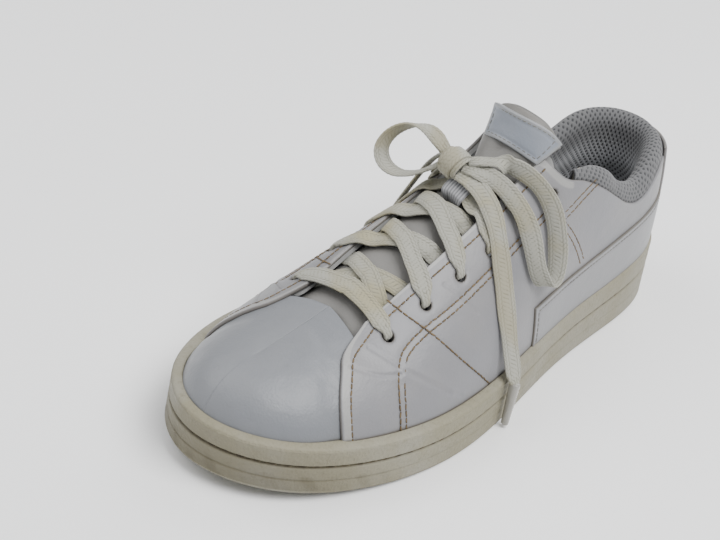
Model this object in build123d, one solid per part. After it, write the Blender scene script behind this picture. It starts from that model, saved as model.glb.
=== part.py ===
"""Left court shoe with a rubber cupsole and a flat lace, built piece by piece.

Millimetres.  The toe points along -Y, the outer (lateral) side is +X, +Z is up and the sole stands on
Z = 0.  In the formulas below a place along the shoe is s, its distance from the back of the heel.
"""
from build123d import *
import math
import os

# ---------------------------------------------------------------- driving dimensions
LENGTH = 272.0                 # outsole, back of the heel to the tip of the toe
TIP_RADIUS = 30.0              # plan radius of the outsole at its two ends
TOE_SPRING = 6.6               # rise of the sole's underside at the toe
SPRING_START = 186.0           # where the underside leaves the floor
FLOOR = 4.5                    # rubber under the foot
WALL_LEAN = 1.1                # how far the sidewall leans in between the floor and its rim
CUP_INSET = 2.95               # outline to the inside of the sidewall
LEATHER = 1.4
GAP = 0.05                     # between layers of the upper
EYELET_X = 23.4
EYELETS = (203.0, 181.3, 161.4, 144.7, 127.5, 110.0)      # toe end first
EYELET_BORE = 4.6
THROAT_HALF = 14.7             # centre plane to the edge of the facing
LACE_WIDTH = 7.0               # as it is pulled flat across the throat
LACE_THICK = 1.4
CORD_DIAMETER = 3.0            # the same lace, rounded, where it hangs free
HINGE_S = 130.0                # line on which the free top of the tongue bends

# Half widths of the outsole, (s, width), outer and inner side.
OUTER_WIDTHS = ((20, 28.5), (60, 36.4), (102, 40.7), (140, 48.2), (177, 53.4), (207, 51.4), (235, 43.5),
                (256, 31.0))
INNER_WIDTHS = ((20, 28.0), (56, 33.5), (88, 32.4), (121, 33.6), (154, 41.0), (186, 47.3), (216, 47.0),
                (242, 39.0), (259, 27.5))
# Heights, (s, z): top of the sidewall, lower edge of the upper, and the crest of the whole upper, which
# over the ankle opening is only a guide for its walls.
RIM_HEIGHTS = ((0, 28.6), (56, 24.8), (112, 21.9), (158, 20.6), (205, 19.9), (272, 19.6))
BASE_HEIGHTS = ((0, 15.0), (60, 14.0), (130, 10.0), (180, 8.5), (272, 8.5))
CREST_HEIGHTS = ((55, 118), (75, 120), (92, 112), (106, 102), (125, 91), (144, 80.5), (161, 72), (178, 63.5),
                 (191, 56.5), (201, 51.5), (215, 47.5), (228, 44.5), (240, 42), (252, 39))
# How the upper's section is drawn between wall and crest, (s, lean, wall, crown), all as fractions.
OUTER_SECTION = ((0, -0.01, 0.66, 0.66), (60, 0.02, 0.66, 0.66), (110, 0.04, 0.63, 0.48),
                 (160, 0.06, 0.57, 0.29), (200, 0.03, 0.63, 0.30), (240, 0.02, 0.74, 0.42),
                 (272, 0.02, 0.80, 0.55))
INNER_SECTION = ((0, -0.01, 0.66, 0.66), (60, 0.02, 0.66, 0.66), (110, 0.04, 0.63, 0.48),
                 (160, 0.05, 0.62, 0.34), (200, 0.04, 0.64, 0.38), (240, 0.04, 0.68, 0.42),
                 (272, 0.02, 0.80, 0.55))
# Upper edge of the leather round the ankle, (s, z), and the front edge of the quarters, (s, share of girth).
COLLAR_EDGE = ((0, 69.0), (15, 68.5), (30, 65.0), (38, 61.2), (48, 59.2), (60, 63.0), (73, 71.0), (84, 77.5),
               (95, 82.0), (103, 84.5), (112, 95.0))
QUARTER_FRONT = ((0.0, 235.5), (0.4, 236.0), (0.6, 234.0), (0.78, 230.0), (0.92, 222.0), (1.0, 209.0))
FAN_FRONT = 150.0              # from here the girth lines swing back towards the crest
FAN_FRONT_PULL = 27.0
FAN_BACK = 95.0                # and from here they swing forward round the heel
FAN_BACK_PULL = 52.0


# ---------------------------------------------------------------- curves and surfaces
def spline(knots):
    """Natural cubic spline through (x, y) knots, held level outside them."""
    xs = [float(k[0]) for k in knots]
    ys = [float(k[1]) for k in knots]
    last = len(xs) - 1
    step = [xs[i + 1] - xs[i] for i in range(last)]
    diagonal = [1.0] * (last + 1)
    bend = [0.0] * (last + 1)
    for i in range(1, last):
        ratio = step[i - 1] / diagonal[i - 1] if i > 1 else 0.0
        diagonal[i] = 2 * (step[i - 1] + step[i]) - ratio * step[i - 1]
        rise = (ys[i + 1] - ys[i]) / step[i] - (ys[i] - ys[i - 1]) / step[i - 1]
        bend[i] = 6 * rise - ratio * bend[i - 1]
    bend[last] = 0.0
    for i in range(last - 1, 0, -1):
        bend[i] = (bend[i] - step[i] * bend[i + 1]) / diagonal[i]

    def value(x):
        x = min(max(x, xs[0]), xs[-1])
        i = 0
        while i < last - 1 and x > xs[i + 1]:
            i += 1
        a, b, h = x - xs[i], xs[i + 1] - x, step[i]
        cubic = (bend[i + 1] * a ** 3 + bend[i] * b ** 3) / (6 * h)
        return cubic + (ys[i + 1] / h - bend[i + 1] * h / 6) * a + (ys[i] / h - bend[i] * h / 6) * b

    return value


def half_width(widths):
    """Half width of the outsole against the turn angle, which runs from 0 at the heel to pi at the toe."""
    end = math.sqrt(TIP_RADIUS * LENGTH / 2)
    knots = [(0.0, end)]
    for s, width in widths:
        turn = math.acos(1 - 2 * s / LENGTH)
        knots.append((turn, width / math.sin(turn)))
    knots.append((math.pi, end))
    ratio = spline(knots)
    return lambda turn: ratio(turn) * math.sin(turn)


outer_half = half_width(OUTER_WIDTHS)
inner_half = half_width(INNER_WIDTHS)
rim_height = spline(RIM_HEIGHTS)
base_height = spline(BASE_HEIGHTS)
crest_height = spline(CREST_HEIGHTS)
collar_edge = spline(COLLAR_EDGE)
quarter_front = spline(QUARTER_FRONT)
outer_section = [spline([(k[0], k[j]) for k in OUTER_SECTION]) for j in (1, 2, 3)]
inner_section = [spline([(k[0], k[j]) for k in INNER_SECTION]) for j in (1, 2, 3)]


def turn_at(s, side=1):
    """Signed turn angle of a place along the shoe: + on the outer side, - on the inner side."""
    return side * math.acos(max(-1.0, min(1.0, 1 - 2 * s / LENGTH)))


def spring(s):
    return TOE_SPRING * max((s - SPRING_START) / (LENGTH - SPRING_START), 0.0) ** 1.8


def outline(turn, inset=0.0):
    """Point (x, s) of the outsole's plan outline, moved inwards by inset."""
    angle = abs(turn)
    side = 1 if turn >= 0 else -1
    width = outer_half if side > 0 else inner_half
    low, high = max(angle - 0.002, 0.0), min(angle + 0.002, math.pi)
    along = LENGTH / 2 * (math.cos(low) - math.cos(high))
    across = width(high) - width(low)
    if angle < 1e-6:
        along, across = 0.0, 1.0
    if angle > math.pi - 1e-6:
        along, across = 0.0, -1.0
    size = math.hypot(along, across)
    x = max(width(angle) - inset * along / size, 0.0)
    return side * x, LENGTH / 2 * (1 - math.cos(angle)) + inset * across / size


OUTLINE_TURNS = [math.pi * i / 90 for i in range(-90, 91)]
CENTRE_X = (max(outline(t)[0] for t in OUTLINE_TURNS) + min(outline(t)[0] for t in OUTLINE_TURNS)) / 2


def place(x, s, z):
    """Shoe coordinates (across, from the heel, up) to the part's frame."""
    return Vector(x - CENTRE_X, LENGTH / 2 - s, z)


def smooth_step(x):
    x = min(max(x, 0.0), 1.0)
    return x * x * (3 - 2 * x)


def upper_inset(s):
    """The outer face of the vamp leather stands this far inside the outsole's outline."""
    return CUP_INSET + LEATHER * (1 - smooth_step((s - 234) / 20)) + GAP


def last_point(turn, girth):
    """Outer face of the vamp level of the upper; girth runs from 0 at its lower edge to 1 on the crest."""
    side_section = outer_section if turn >= 0 else inner_section
    s_plain = LENGTH / 2 * (1 - math.cos(abs(turn)))
    x0, s0 = outline(turn, upper_inset(s_plain))
    crest_s = s0
    if s0 > FAN_FRONT:
        crest_s = s0 - FAN_FRONT_PULL * ((s0 - FAN_FRONT) / (LENGTH - CUP_INSET - FAN_FRONT)) ** 2
    if s0 < FAN_BACK:
        crest_s = s0 + FAN_BACK_PULL * ((FAN_BACK - s0) / (FAN_BACK - CUP_INSET - LEATHER)) ** 2
    crest_z = crest_height(crest_s)
    lean, wall, crown = [f(s0) for f in side_section]
    base_z = base_height(s0) + spring(s0)
    reach = math.hypot(x0, s0 - crest_s)
    ex, es = x0 / reach, (s0 - crest_s) / reach
    poles = ((x0, s0, base_z),
             (x0 - ex * lean * reach, s0 - es * lean * reach, base_z + wall * (crest_z - base_z)),
             (ex * crown * reach, crest_s + es * crown * reach, crest_z),
             (0.0, crest_s, crest_z))
    w = ((1 - girth) ** 3, 3 * girth * (1 - girth) ** 2, 3 * girth ** 2 * (1 - girth), girth ** 3)
    return place(*(sum(w[k] * poles[k][j] for k in range(4)) for j in range(3)))


def last_normal(turn, girth):
    """Outward unit normal of last_point's surface."""
    e = 0.002
    t0, t1 = max(turn - e, -math.pi), min(turn + e, math.pi)
    if abs(turn) > e:
        side = 1 if turn > 0 else -1
        t0, t1 = side * max(side * t0, 1e-4) if side > 0 else t0, t1 if side > 0 else min(t1, -1e-4)
    g0, g1 = max(girth - e, 0.0), min(girth + e, 1.0)
    along = last_point(t1, girth) - last_point(t0, girth)
    up = last_point(turn, g1) - last_point(turn, g0)
    return up.cross(along).normalized()


def skin(turn, girth, depth):
    """Point at a depth over (+) or under (-) the vamp level."""
    return last_point(turn, girth) + last_normal(turn, girth) * depth


def solve(test):
    """Girth between 0 and 1 at which a rising test passes zero."""
    low, high = 0.0, 1.0
    for _ in range(40):
        middle = (low + high) / 2
        if test(middle) < 0:
            low = middle
        else:
            high = middle
    return (low + high) / 2


def girth_at_z(turn, z):
    return solve(lambda g: last_point(turn, g).Z - z)


def girth_at_x(turn, x):
    """Girth at a distance x from the shoe's own centre plane."""
    return solve(lambda g: abs(x) - abs(last_point(turn, g).X + CENTRE_X))


def across(s, x, depth):
    """Point of a layer at x across the instep, on the girth line that starts at s."""
    turn = turn_at(s, 1 if x >= 0 else -1)
    girth = 1.0 if abs(x) < 1e-6 else girth_at_x(turn, x)
    return skin(turn, girth, depth)


def edge_girth(turn):
    """Top edge of the quarters: the facing's edge along the throat, then round the ankle."""
    s = LENGTH / 2 * (1 - math.cos(abs(turn)))
    throat = girth_at_x(turn, THROAT_HALF) if s > 95 else 1.0
    if s > 112:
        return throat
    ankle = girth_at_z(turn, collar_edge(s))
    soft = 0.012
    low = min(throat, ankle)
    return low - soft * math.log(math.exp((low - throat) / soft) + math.exp((low - ankle) / soft))


# ---------------------------------------------------------------- solids from layers
def span(start, stop, count):
    return [start + (stop - start) * i / count for i in range(count + 1)]


def surface(rows):
    return Face.make_surface_from_array_of_points(rows, tol=0.01, min_deg=3, max_deg=3)


def sheet(outer_rows, inner_rows):
    """Solid between two grids of points, closed with ruled faces along their four edges."""
    outer, inner = surface(outer_rows), surface(inner_rows)
    sides = [Face.make_surface_from_curves(a, b) for a, b in zip(outer.edges(), inner.edges())]
    return Solid(Shell([outer, inner] + sides))


def layer(turns, girths, top, bottom):
    """Sheet of the upper: girths(turn, share) gives the girth at a share of the height of each line."""
    shares = span(0, 1, 14)
    return sheet([[skin(t, girths(t, q), top) for q in shares] for t in turns],
                 [[skin(t, girths(t, q), bottom) for q in shares] for t in turns])


def side_prism(lower, upper, s_range=(-20.0, LENGTH + 20.0)):
    """Block across the whole width, between two height curves over s."""
    stations = span(s_range[0], s_range[1], 24)

    def clamp(s):
        return min(max(s, 0.0), LENGTH)

    low = [Vector(0, LENGTH / 2 - s, lower(clamp(s))) for s in stations]
    high = [Vector(0, LENGTH / 2 - s, upper(clamp(s))) for s in reversed(stations)]
    wire = Wire([Spline(low), Line(low[-1], high[0]), Spline(high), Line(high[-1], low[0])])
    return extrude(Face(wire), amount=80, dir=(1, 0, 0), both=True)


def plan_face(inset, z=0.0):
    points = [outline(t, inset) for t in span(-math.pi, math.pi, 72)[:-1]]
    return Face(Wire([Spline([place(x, s, z) for x, s in points], periodic=True)]))


def plan_block(inset, low=-10.0, high=60.0):
    return extrude(plan_face(inset, low), amount=high - low, dir=(0, 0, 1))


# ---------------------------------------------------------------- sole
def sidewall_line(share):
    """Height curve at a share of the sidewall, counted down from its rim."""
    return lambda s: rim_height(s) * (1 - share) + spring(s)


def leaning_block(inset):
    """The outsole's outline drawn up with the lean of its sidewall."""
    low, high = -10.0, 50.0
    lean = WALL_LEAN / 25.0
    return loft([plan_face(inset + lean * low, low), plan_face(inset + lean * high, high)])


def sole_profile():
    """Side view of the sole: flat underside, toe spring, and the rim."""
    ball = LENGTH / 2 - SPRING_START
    toe = [Vector(0, LENGTH / 2 - s, spring(s)) for s in span(SPRING_START, LENGTH + 20.0, 6)]
    rim = [Vector(0, LENGTH / 2 - s, sidewall_line(0.0)(min(max(s, 0.0), LENGTH)))
           for s in span(LENGTH + 20.0, -20.0, 24)]
    heel = Vector(0, LENGTH / 2 + 20.0, 0)
    rise = Spline(toe, tangents=[(0, -1, 0), toe[-1] - toe[-2]])
    wire = Wire([Line(heel, (0, ball, 0)), rise, Line(toe[-1], rim[0]), Spline(rim), Line(rim[-1], heel)])
    return extrude(Face(wire), amount=80, dir=(1, 0, 0), both=True)


def make_cupsole():
    body = (leaning_block(0.0) & sole_profile()) - tread_bars()
    body -= plan_block(CUP_INSET) & side_prism(lambda s: FLOOR + spring(s), lambda s: 55.0)
    for share, half, depth in ((0.39, 0.7, 1.0), (0.69, 0.35, 0.6)):
        strip = side_prism(lambda s: sidewall_line(share)(s) - half, lambda s: sidewall_line(share)(s) + half)
        body -= (leaning_block(-5.0) - leaning_block(depth)) & strip
    return body


def tread_bars():
    """Shallow cross grooves under the forefoot and the heel, clear of the sidewall."""
    bars = []
    for first, count, half in ((24.0, 4, 22.0), (152.0, 6, 32.0)):
        for i in range(count):
            s = first + 13.0 * i
            centre = place(1.5, s, spring(s))
            bars.append(Box(2 * half, 3.0, 2.4).moved(Location((centre.X, centre.Y, centre.Z), (0, 0, 8))))
    return Compound(bars)


def make_sidewall_thread():
    line = sidewall_line(0.39)
    strip = side_prism(lambda s: line(s) - 0.45, lambda s: line(s) + 0.45)
    return (leaning_block(0.35) - leaning_block(0.95)) & strip


def plan_layer(inset, lower, upper):
    return plan_block(inset) & side_prism(lower, upper)


def make_midsole_wedge():
    return plan_layer(CUP_INSET + 0.1, lambda s: FLOOR + 0.05 + spring(s),
                      lambda s: base_height(s) + spring(s) - 0.1)


def make_strobel_board():
    return plan_layer(7.7, lambda s: base_height(s) + spring(s), lambda s: base_height(s) + spring(s) + 1.4)


def make_sockliner():
    return plan_layer(8.6, lambda s: base_height(s) + spring(s) + 1.5,
                      lambda s: base_height(s) + spring(s) + 5.5)


# ---------------------------------------------------------------- forefoot
def toe_wrap(s_back, top, bottom):
    """One sheet from a girth line on the outer side, round the toe, to the same line on the inner side.

    It stops just short of the crest, where its two long edges would fall together."""
    tip = math.pi - 0.03
    turns = span(turn_at(s_back, 1), tip, 20) + span(-tip, turn_at(s_back, -1), 20)
    return layer(turns, lambda t, q: 0.985 * q, top, bottom)


def make_vamp():
    return toe_wrap(217.0, 0.0, -LEATHER)


def make_toe_puff():
    return toe_wrap(246.0, -1.45, -2.05)


def make_vamp_lining():
    return toe_wrap(217.0, -2.1, -3.0)


# ---------------------------------------------------------------- quarters
QUARTER_TOP, QUARTER_UNDER = GAP + LEATHER, GAP


def quarter_rows(side, depth, front_limit=300.0, s_back=0.0):
    """Grid from the quarter's front edge back to a girth line, evenly spaced round the outline."""
    back = turn_at(s_back)
    top_front = turn_at(min(quarter_front(1.0), front_limit))
    rows = []
    for k in span(0, 1, 44):
        edge = edge_girth(side * (top_front + (back - top_front) * k))
        row = []
        for q in span(0, 1, 14):
            front = turn_at(min(quarter_front(q), front_limit))
            row.append(skin(side * (front + (back - front) * k), q * edge, depth))
        rows.append(row)
    return rows


def eyelet_axis(s, side):
    turn = turn_at(s, side)
    girth = girth_at_x(turn, EYELET_X)
    return last_point(turn, girth), last_normal(turn, girth)


def eyelet_drills(side, bore=EYELET_BORE):
    drills = []
    for s in EYELETS:
        centre, normal = eyelet_axis(s, side)
        plane = Plane(origin=centre - normal * 4, z_dir=normal)
        drills.append(Solid.make_cylinder(bore / 2, 9, plane))
    return drills


def make_quarter(side):
    body = sheet(quarter_rows(side, QUARTER_TOP), quarter_rows(side, QUARTER_UNDER))
    for drill in eyelet_drills(side):
        body -= drill
    return body


def over_rim(turn):
    """Girth just above the rim of the sole, where the outer trim pieces start."""
    s = LENGTH / 2 * (1 - math.cos(abs(turn)))
    return girth_at_z(turn, rim_height(s) + spring(s) + 0.5)


def girth_band(side, s_front, s_back, lower, upper, top, bottom, count=24):
    """Layer between two girth lines; lower and upper give the girths against the turn."""
    turns = span(turn_at(s_front, side), turn_at(s_back, side), count)
    return layer(turns, lambda t, q: lower(t) + (upper(t) - lower(t)) * q, top, bottom)


def make_facing_stay(side):
    """Strip of non-woven between the quarter and its lining, carrying the eyelets."""
    body = girth_band(side, 203.0, 106.0, lambda t: edge_girth(t) - 0.27, edge_girth, -GAP, -0.75)
    for drill in eyelet_drills(side):
        body -= drill
    return body


def make_quarter_lining(side):
    front = 215.0
    body = sheet(quarter_rows(side, -0.8, front, 99.0), quarter_rows(side, -1.7, front, 99.0))
    for drill in eyelet_drills(side):
        body -= drill
    return body


def make_side_overlay(side):
    """Plain rear foxing: straight upper edge, square front corner."""
    def upper(t):
        s = LENGTH / 2 * (1 - math.cos(abs(t)))
        return girth_at_z(t, 38.5 + (126.0 - s) * 0.125)
    return girth_band(side, 126.0, 15.0, over_rim, upper, QUARTER_TOP + GAP + 1.0, QUARTER_TOP + GAP)


# ---------------------------------------------------------------- heel and collar
def heel_turns(s_front, count):
    return span(turn_at(s_front, 1), turn_at(s_front, -1), count)


def heel_girth(z):
    return lambda t, q: q * girth_at_z(t, z)


def make_heel_panel():
    def girths(t, q):
        s = LENGTH / 2 * (1 - math.cos(abs(t)))
        low = over_rim(t)
        return low + q * (girth_at_z(t, collar_edge(s) + 4.0) - low)
    return layer(heel_turns(14.3, 12), girths, QUARTER_TOP + GAP + 1.2, QUARTER_TOP + GAP)


def make_heel_counter():
    return layer(heel_turns(70.0, 28), heel_girth(47.0), -0.1, -1.7)


COLLAR_FRONT = 97.5            # the padded collar ends here, beside the tongue
COLLAR_FULL = 78.0             # and is at its full thickness from here back


def collar_profile(turn):
    """The collar's section at a turn, as points (out, up) from the leather's edge, outside to inside."""
    s = LENGTH / 2 * (1 - math.cos(abs(turn)))
    full = smooth_step((COLLAR_FRONT - s) / (COLLAR_FRONT - COLLAR_FULL))
    thick = 3.2 + 5.6 * full
    roll = 4.2 + 4.0 * full
    return ((-0.1, -4.5), (0.25, 0.9), (0.1 - 0.1 * thick, 0.62 * roll), (-0.42 * thick, roll),
            (-0.86 * thick, 0.72 * roll), (-1.02 * thick, -0.1 * roll), (-0.98 * thick, -9.0))


def collar_frame(turn):
    edge = edge_girth(turn)
    top = last_point(turn, edge)
    normal = last_normal(turn, edge)
    out = Vector(normal.X, normal.Y, 0).normalized()
    return top, out


def collar_rows(turns, foot_side, fill):
    """Grid round the ankle; fill is 0 on the lining's outer face and grows into the padding."""
    rows = []
    for turn in turns:
        top, out = collar_frame(turn)
        s = LENGTH / 2 * (1 - math.cos(abs(turn)))
        base = base_height(s) + spring(s)
        points = [top + out * d + Vector(0, 0, h) for d, h in collar_profile(turn)]
        middle_z = 0.5 * (points[-1].Z + base)
        foot = []
        for z, depth in ((middle_z + 4.0, -5.6 * 0.8), (base + 11.0, -3.2), (base + 0.4, -2.9)):
            girth = girth_at_z(turn, z)
            foot.append(skin(turn, girth, depth))
        line = Spline(points + foot)
        row = []
        for q in span(foot_side[0], foot_side[1], 30):
            point = line @ q
            tangent = line % q
            inwards = out.cross(Vector(0, 0, 1)).cross(tangent).normalized()
            row.append(point + inwards * fill)
        rows.append(row)
    return rows


def make_collar_lining():
    turns = heel_turns(COLLAR_FRONT, 44)
    return sheet(collar_rows(turns, (0.0, 1.0), 0.0), collar_rows(turns, (0.0, 1.0), 0.9))


def make_collar_foam():
    """Padding between the lining and the leather, thickest in the roll and fading out down the ankle."""
    turns = heel_turns(COLLAR_FRONT - 1.0, 40)
    foot_rows = collar_rows(turns, (0.10, 0.78), 0.95)
    leather_rows = []
    for turn, row in zip(turns, foot_rows):
        top, out = collar_frame(turn)
        start = top + out * -1.05 + Vector(0, 0, -4.3)
        end_z = row[-1].Z
        leather = [start]
        for share in (0.33, 0.66, 1.0):
            z = start.Z + (end_z - start.Z) * share
            leather.append(skin(turn, girth_at_z(turn, z), -1.05 - 0.8 * min(1.0, 3 * share)))
        line = Spline(leather)
        leather_rows.append([line @ q for q in span(0, 1, len(row) - 1)])
    return sheet(foot_rows, leather_rows)


# ---------------------------------------------------------------- tongue
TONGUE_X = 2.5                 # the tongue lies a little towards the outer side
TONGUE_HALF = 23.0
TONGUE_LAYERS = {"leather": (-3.8, -5.0), "foam": (-5.05, -8.0), "lining": (-8.05, -8.9)}
FLAP_BASE_HALF = 9.0
FLAP_MIDDLE_HALF = 11.5
FLAP_TOP_HALF = 19.0


def tongue_root(s_front, top, bottom):
    rows = []
    for depth in (top, bottom):
        rows.append([[across(s, TONGUE_X + TONGUE_HALF * a, depth) for a in span(-1, 1, 16)]
                     for s in span(s_front, HINGE_S + 0.6, 24)])
    return sheet(rows[0], rows[1])


def flap_point(share_across, share_up):
    """Front face of the tongue's free top: a curved leaf that rises out of the throat."""
    a, h = share_across, share_up
    base = across(HINGE_S - 0.6, TONGUE_X + FLAP_BASE_HALF * a, -3.8)
    middle = place(TONGUE_X + FLAP_MIDDLE_HALF * a, 119.5 - 6.0 * a * a, 96.5 - 5.0 * a * a)
    top = place(TONGUE_X + FLAP_TOP_HALF * a, 116.0 - 10.5 * a * a, 108.0 - 8.0 * a * a)
    return base * (1 - h) * (1 - 2 * h) + middle * 4 * h * (1 - h) + top * h * (2 * h - 1)


def flap_grid(depth, low=(0.0, 1.0), wide=(-1.0, 1.0)):
    rows = []
    e = 0.01
    for h in span(low[0], low[1], 14):
        row = []
        for a in span(wide[0], wide[1], 16):
            across_dir = flap_point(a + e, h) - flap_point(a - e, h)
            up_dir = flap_point(a, h + e) - flap_point(a, h - e)
            normal = across_dir.cross(up_dir).normalized()
            row.append(flap_point(a, h) + normal * depth)
        rows.append(row)
    return rows


def tongue_flap(name):
    top, bottom = TONGUE_LAYERS[name]
    return sheet(flap_grid(top + 3.8), flap_grid(bottom + 3.8))


def make_tongue_label():
    return sheet(flap_grid(0.75, (0.42, 0.97), (-0.8, 0.8)), flap_grid(GAP, (0.42, 0.97), (-0.8, 0.8)))


KEEPER_S = (134.4, 147.0)
KEEPER_X = (-2.0, 6.0)


def make_lace_keeper():
    """Ribbed elastic band stitched to the tongue at its two ends; the top crossing passes under it."""
    s0, s1 = KEEPER_S
    thick = 0.9
    arch = ((s0, -3.75), (s0 + 0.1, 1.2), (s0 + 1.2, 2.3), (s1 - 1.2, 2.3), (s1 - 0.1, 1.2), (s1, -3.75),
            (s1 - thick, -3.75), (s1 - thick - 0.1, 0.9), (s1 - 1.6, 1.4), (s0 + 1.6, 1.4),
            (s0 + thick + 0.1, 0.9), (s0 + thick, -3.75))
    sections = []
    for x in span(*KEEPER_X, 4):
        points = []
        for s, depth in arch:
            base, normal = instep(s, x + 0.001)
            points.append(base + Vector(0, normal.Y, normal.Z).normalized() * depth)
        sections.append(Wire.make_polygon(points))
    return Solid.make_loft(sections)


# ---------------------------------------------------------------- lace across the throat
OVER, UNDER = 2.25, -2.8       # depth of the lace on the facing and below it
HOLE_WIDTH, HOLE_THICK = 3.3, 1.9
HIGH, LOW = 0.4, -1.25         # the two laces where they cross


def instep(s, x):
    """Vamp level and its normal at x across the instep, on the girth line that starts at s."""
    turn = turn_at(s, 1 if x >= 0 else -1)
    girth = 1.0 if abs(x) < 1e-6 else girth_at_x(turn, x)
    return last_point(turn, girth), last_normal(turn, girth)


def smooth_path(points, per_piece):
    """Quadratic B-spline that starts at the first point, ends at the last and is drawn towards the rest."""
    def middle(i):
        return [(a + b) / 2 for a, b in zip(points[i], points[i + 1])]
    path = []
    pieces = len(points) - 2
    for i in range(pieces):
        start = points[0] if i == 0 else middle(i)
        end = points[-1] if i == pieces - 1 else middle(i + 1)
        for u in span(0, 1, per_piece)[(1 if i else 0):]:
            path.append([(1 - u) ** 2 * a + 2 * u * (1 - u) * b + u ** 2 * c
                         for a, b, c in zip(start, points[i + 1], end)])
    return path


def out_of_hole(side, s, depth, ahead_s):
    """Stations from the middle of an eyelet to the open throat, over or under the facing."""
    up = 1 if depth > 0 else -1
    turn_depth = depth - 0.65 * up
    x = EYELET_X
    slope = (ahead_s - s) / 10.2
    return [(side * x, s, -0.15 + 0.55 * (turn_depth + 0.15)),
            (side * (x - 0.3), s + 0.3 * slope, turn_depth), (side * (x - 1.4), s + 1.4 * slope, depth),
            (side * (x - 5.0), s + 5.0 * slope, depth), (side * (x - 10.2), s + 10.2 * slope, depth)]


def crossing(side, index, middle, depths):
    """Stations from eyelet `index` on one side, across, and up through the next one opposite."""
    s0, s1 = EYELETS[index], EYELETS[index + 1]
    shift = (s1 - s0) * 10.2 / (2 * EYELET_X)
    start = out_of_hole(side, s0, depths[0], s0 + shift)
    end = out_of_hole(-side, s1, UNDER, s1 - shift)
    return start + [(side * x, s, depths[1]) for x, s in middle] + end[::-1]


def straight(index):
    """Stations (x, s) of a crossing that runs straight from one eyelet to the next opposite."""
    s0, s1 = EYELETS[index], EYELETS[index + 1]
    return [(x, (s0 + s1) / 2 + (s0 - s1) / 2 * x / EYELET_X) for x in (10.0, 5.0, 0.001, -5.0, -10.8)]


KEPT_OUTER = ((11.0, 142.9), (6.0, 141.8), (0.001, 140.3), (-4.5, 137.6), (-10.4, 132.6))
KEPT_INNER = ((10.8, 140.6), (5.0, 140.0), (0.001, 139.8), (-7.0, 138.8), (-11.0, 135.5))


def lace_stations():
    """The whole lace from the knot down to the toe end and back up to the knot."""
    def hole(side, index):
        return [(side * EYELET_X, EYELETS[index], -0.15)]

    def to_knot(side, knot_x):
        rise = [(side * (knot_x + 6.5), 132.0, 2.5), (side * (knot_x + 3.0), 134.5, 2.9),
                (side * knot_x, 136.5, 3.3)]
        return out_of_hole(side, EYELETS[4], OVER, EYELETS[4] + 2.0) + rise

    bar_ends = [out_of_hole(side, EYELETS[0], OVER, EYELETS[0]) for side in (1, -1)]
    bar = [(x, EYELETS[0], depth) for x, depth in ((8.0, 1.6), (0.001, 1.2), (-8.0, 1.6))]
    chain = to_knot(1, KNOT_X[1] - 0.8)[::-1] + hole(1, 4)
    chain += crossing(-1, 3, KEPT_INNER, (OVER, LOW))[::-1] + hole(-1, 3)
    chain += crossing(1, 2, straight(2), (OVER, HIGH))[::-1] + hole(1, 2)
    chain += crossing(-1, 1, straight(1), (OVER, LOW))[::-1] + hole(-1, 1)
    chain += crossing(1, 0, straight(0), (UNDER, HIGH - 1.4))[::-1] + hole(1, 0)
    chain += bar_ends[0] + bar + bar_ends[1][::-1] + hole(-1, 0)
    chain += crossing(-1, 0, straight(0), (UNDER, LOW - 1.5)) + hole(1, 1)
    chain += crossing(1, 1, straight(1), (OVER, HIGH)) + hole(-1, 2)
    chain += crossing(-1, 2, straight(2), (OVER, LOW)) + hole(1, 3)
    chain += crossing(1, 3, KEPT_OUTER, (OVER, HIGH)) + hole(-1, 4)
    return chain + to_knot(-1, -KNOT_X[0] - 0.8)


def make_laced_rows():
    """Flat strip along the stations, drawn in to a thicker bundle inside the eyelets."""
    samples = []
    for x, s, depth in smooth_path(lace_stations(), 3):
        base, normal = instep(s, x)
        spread = smooth_step((EYELET_X - abs(x) - 0.8) / 4.5)
        samples.append((base + normal * depth, normal, spread))
    sections = []
    last = len(samples) - 1
    for i, (point, normal, spread) in enumerate(samples):
        tangent = (samples[min(i + 1, last)][0] - samples[max(i - 1, 0)][0]).normalized()
        heelwards = Vector(0, 1, 0) - normal * normal.Y
        side = (heelwards - tangent * heelwards.dot(tangent)).normalized()
        face = side.cross(tangent).normalized()
        half_side = side * (HOLE_WIDTH + (LACE_WIDTH - HOLE_WIDTH) * spread) * 0.5
        half_face = face * (HOLE_THICK + (LACE_THICK - HOLE_THICK) * spread) * 0.5
        sections.append(Wire.make_polygon([point - half_side - half_face, point + half_side - half_face,
                                           point + half_side + half_face, point - half_side + half_face]))
    return Solid.make_loft(sections, ruled=True)


# ---------------------------------------------------------------- bow
KNOT_X = (-10.7, 1.3)
KNOT_S = 137.0
KNOT_DEPTH = 7.4               # its centre over the vamp level
KNOT_SIZE = (12.0, 12.0, 7.2)


def make_knot():
    base, normal = instep(KNOT_S, (KNOT_X[0] + KNOT_X[1]) / 2)
    lift = Vector(0, normal.Y, normal.Z).normalized()
    plane = Plane(origin=base + lift * KNOT_DEPTH, x_dir=(1, 0, 0), z_dir=lift)
    return fillet(Box(*KNOT_SIZE).edges(), 2.6).moved(plane.location)


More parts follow.
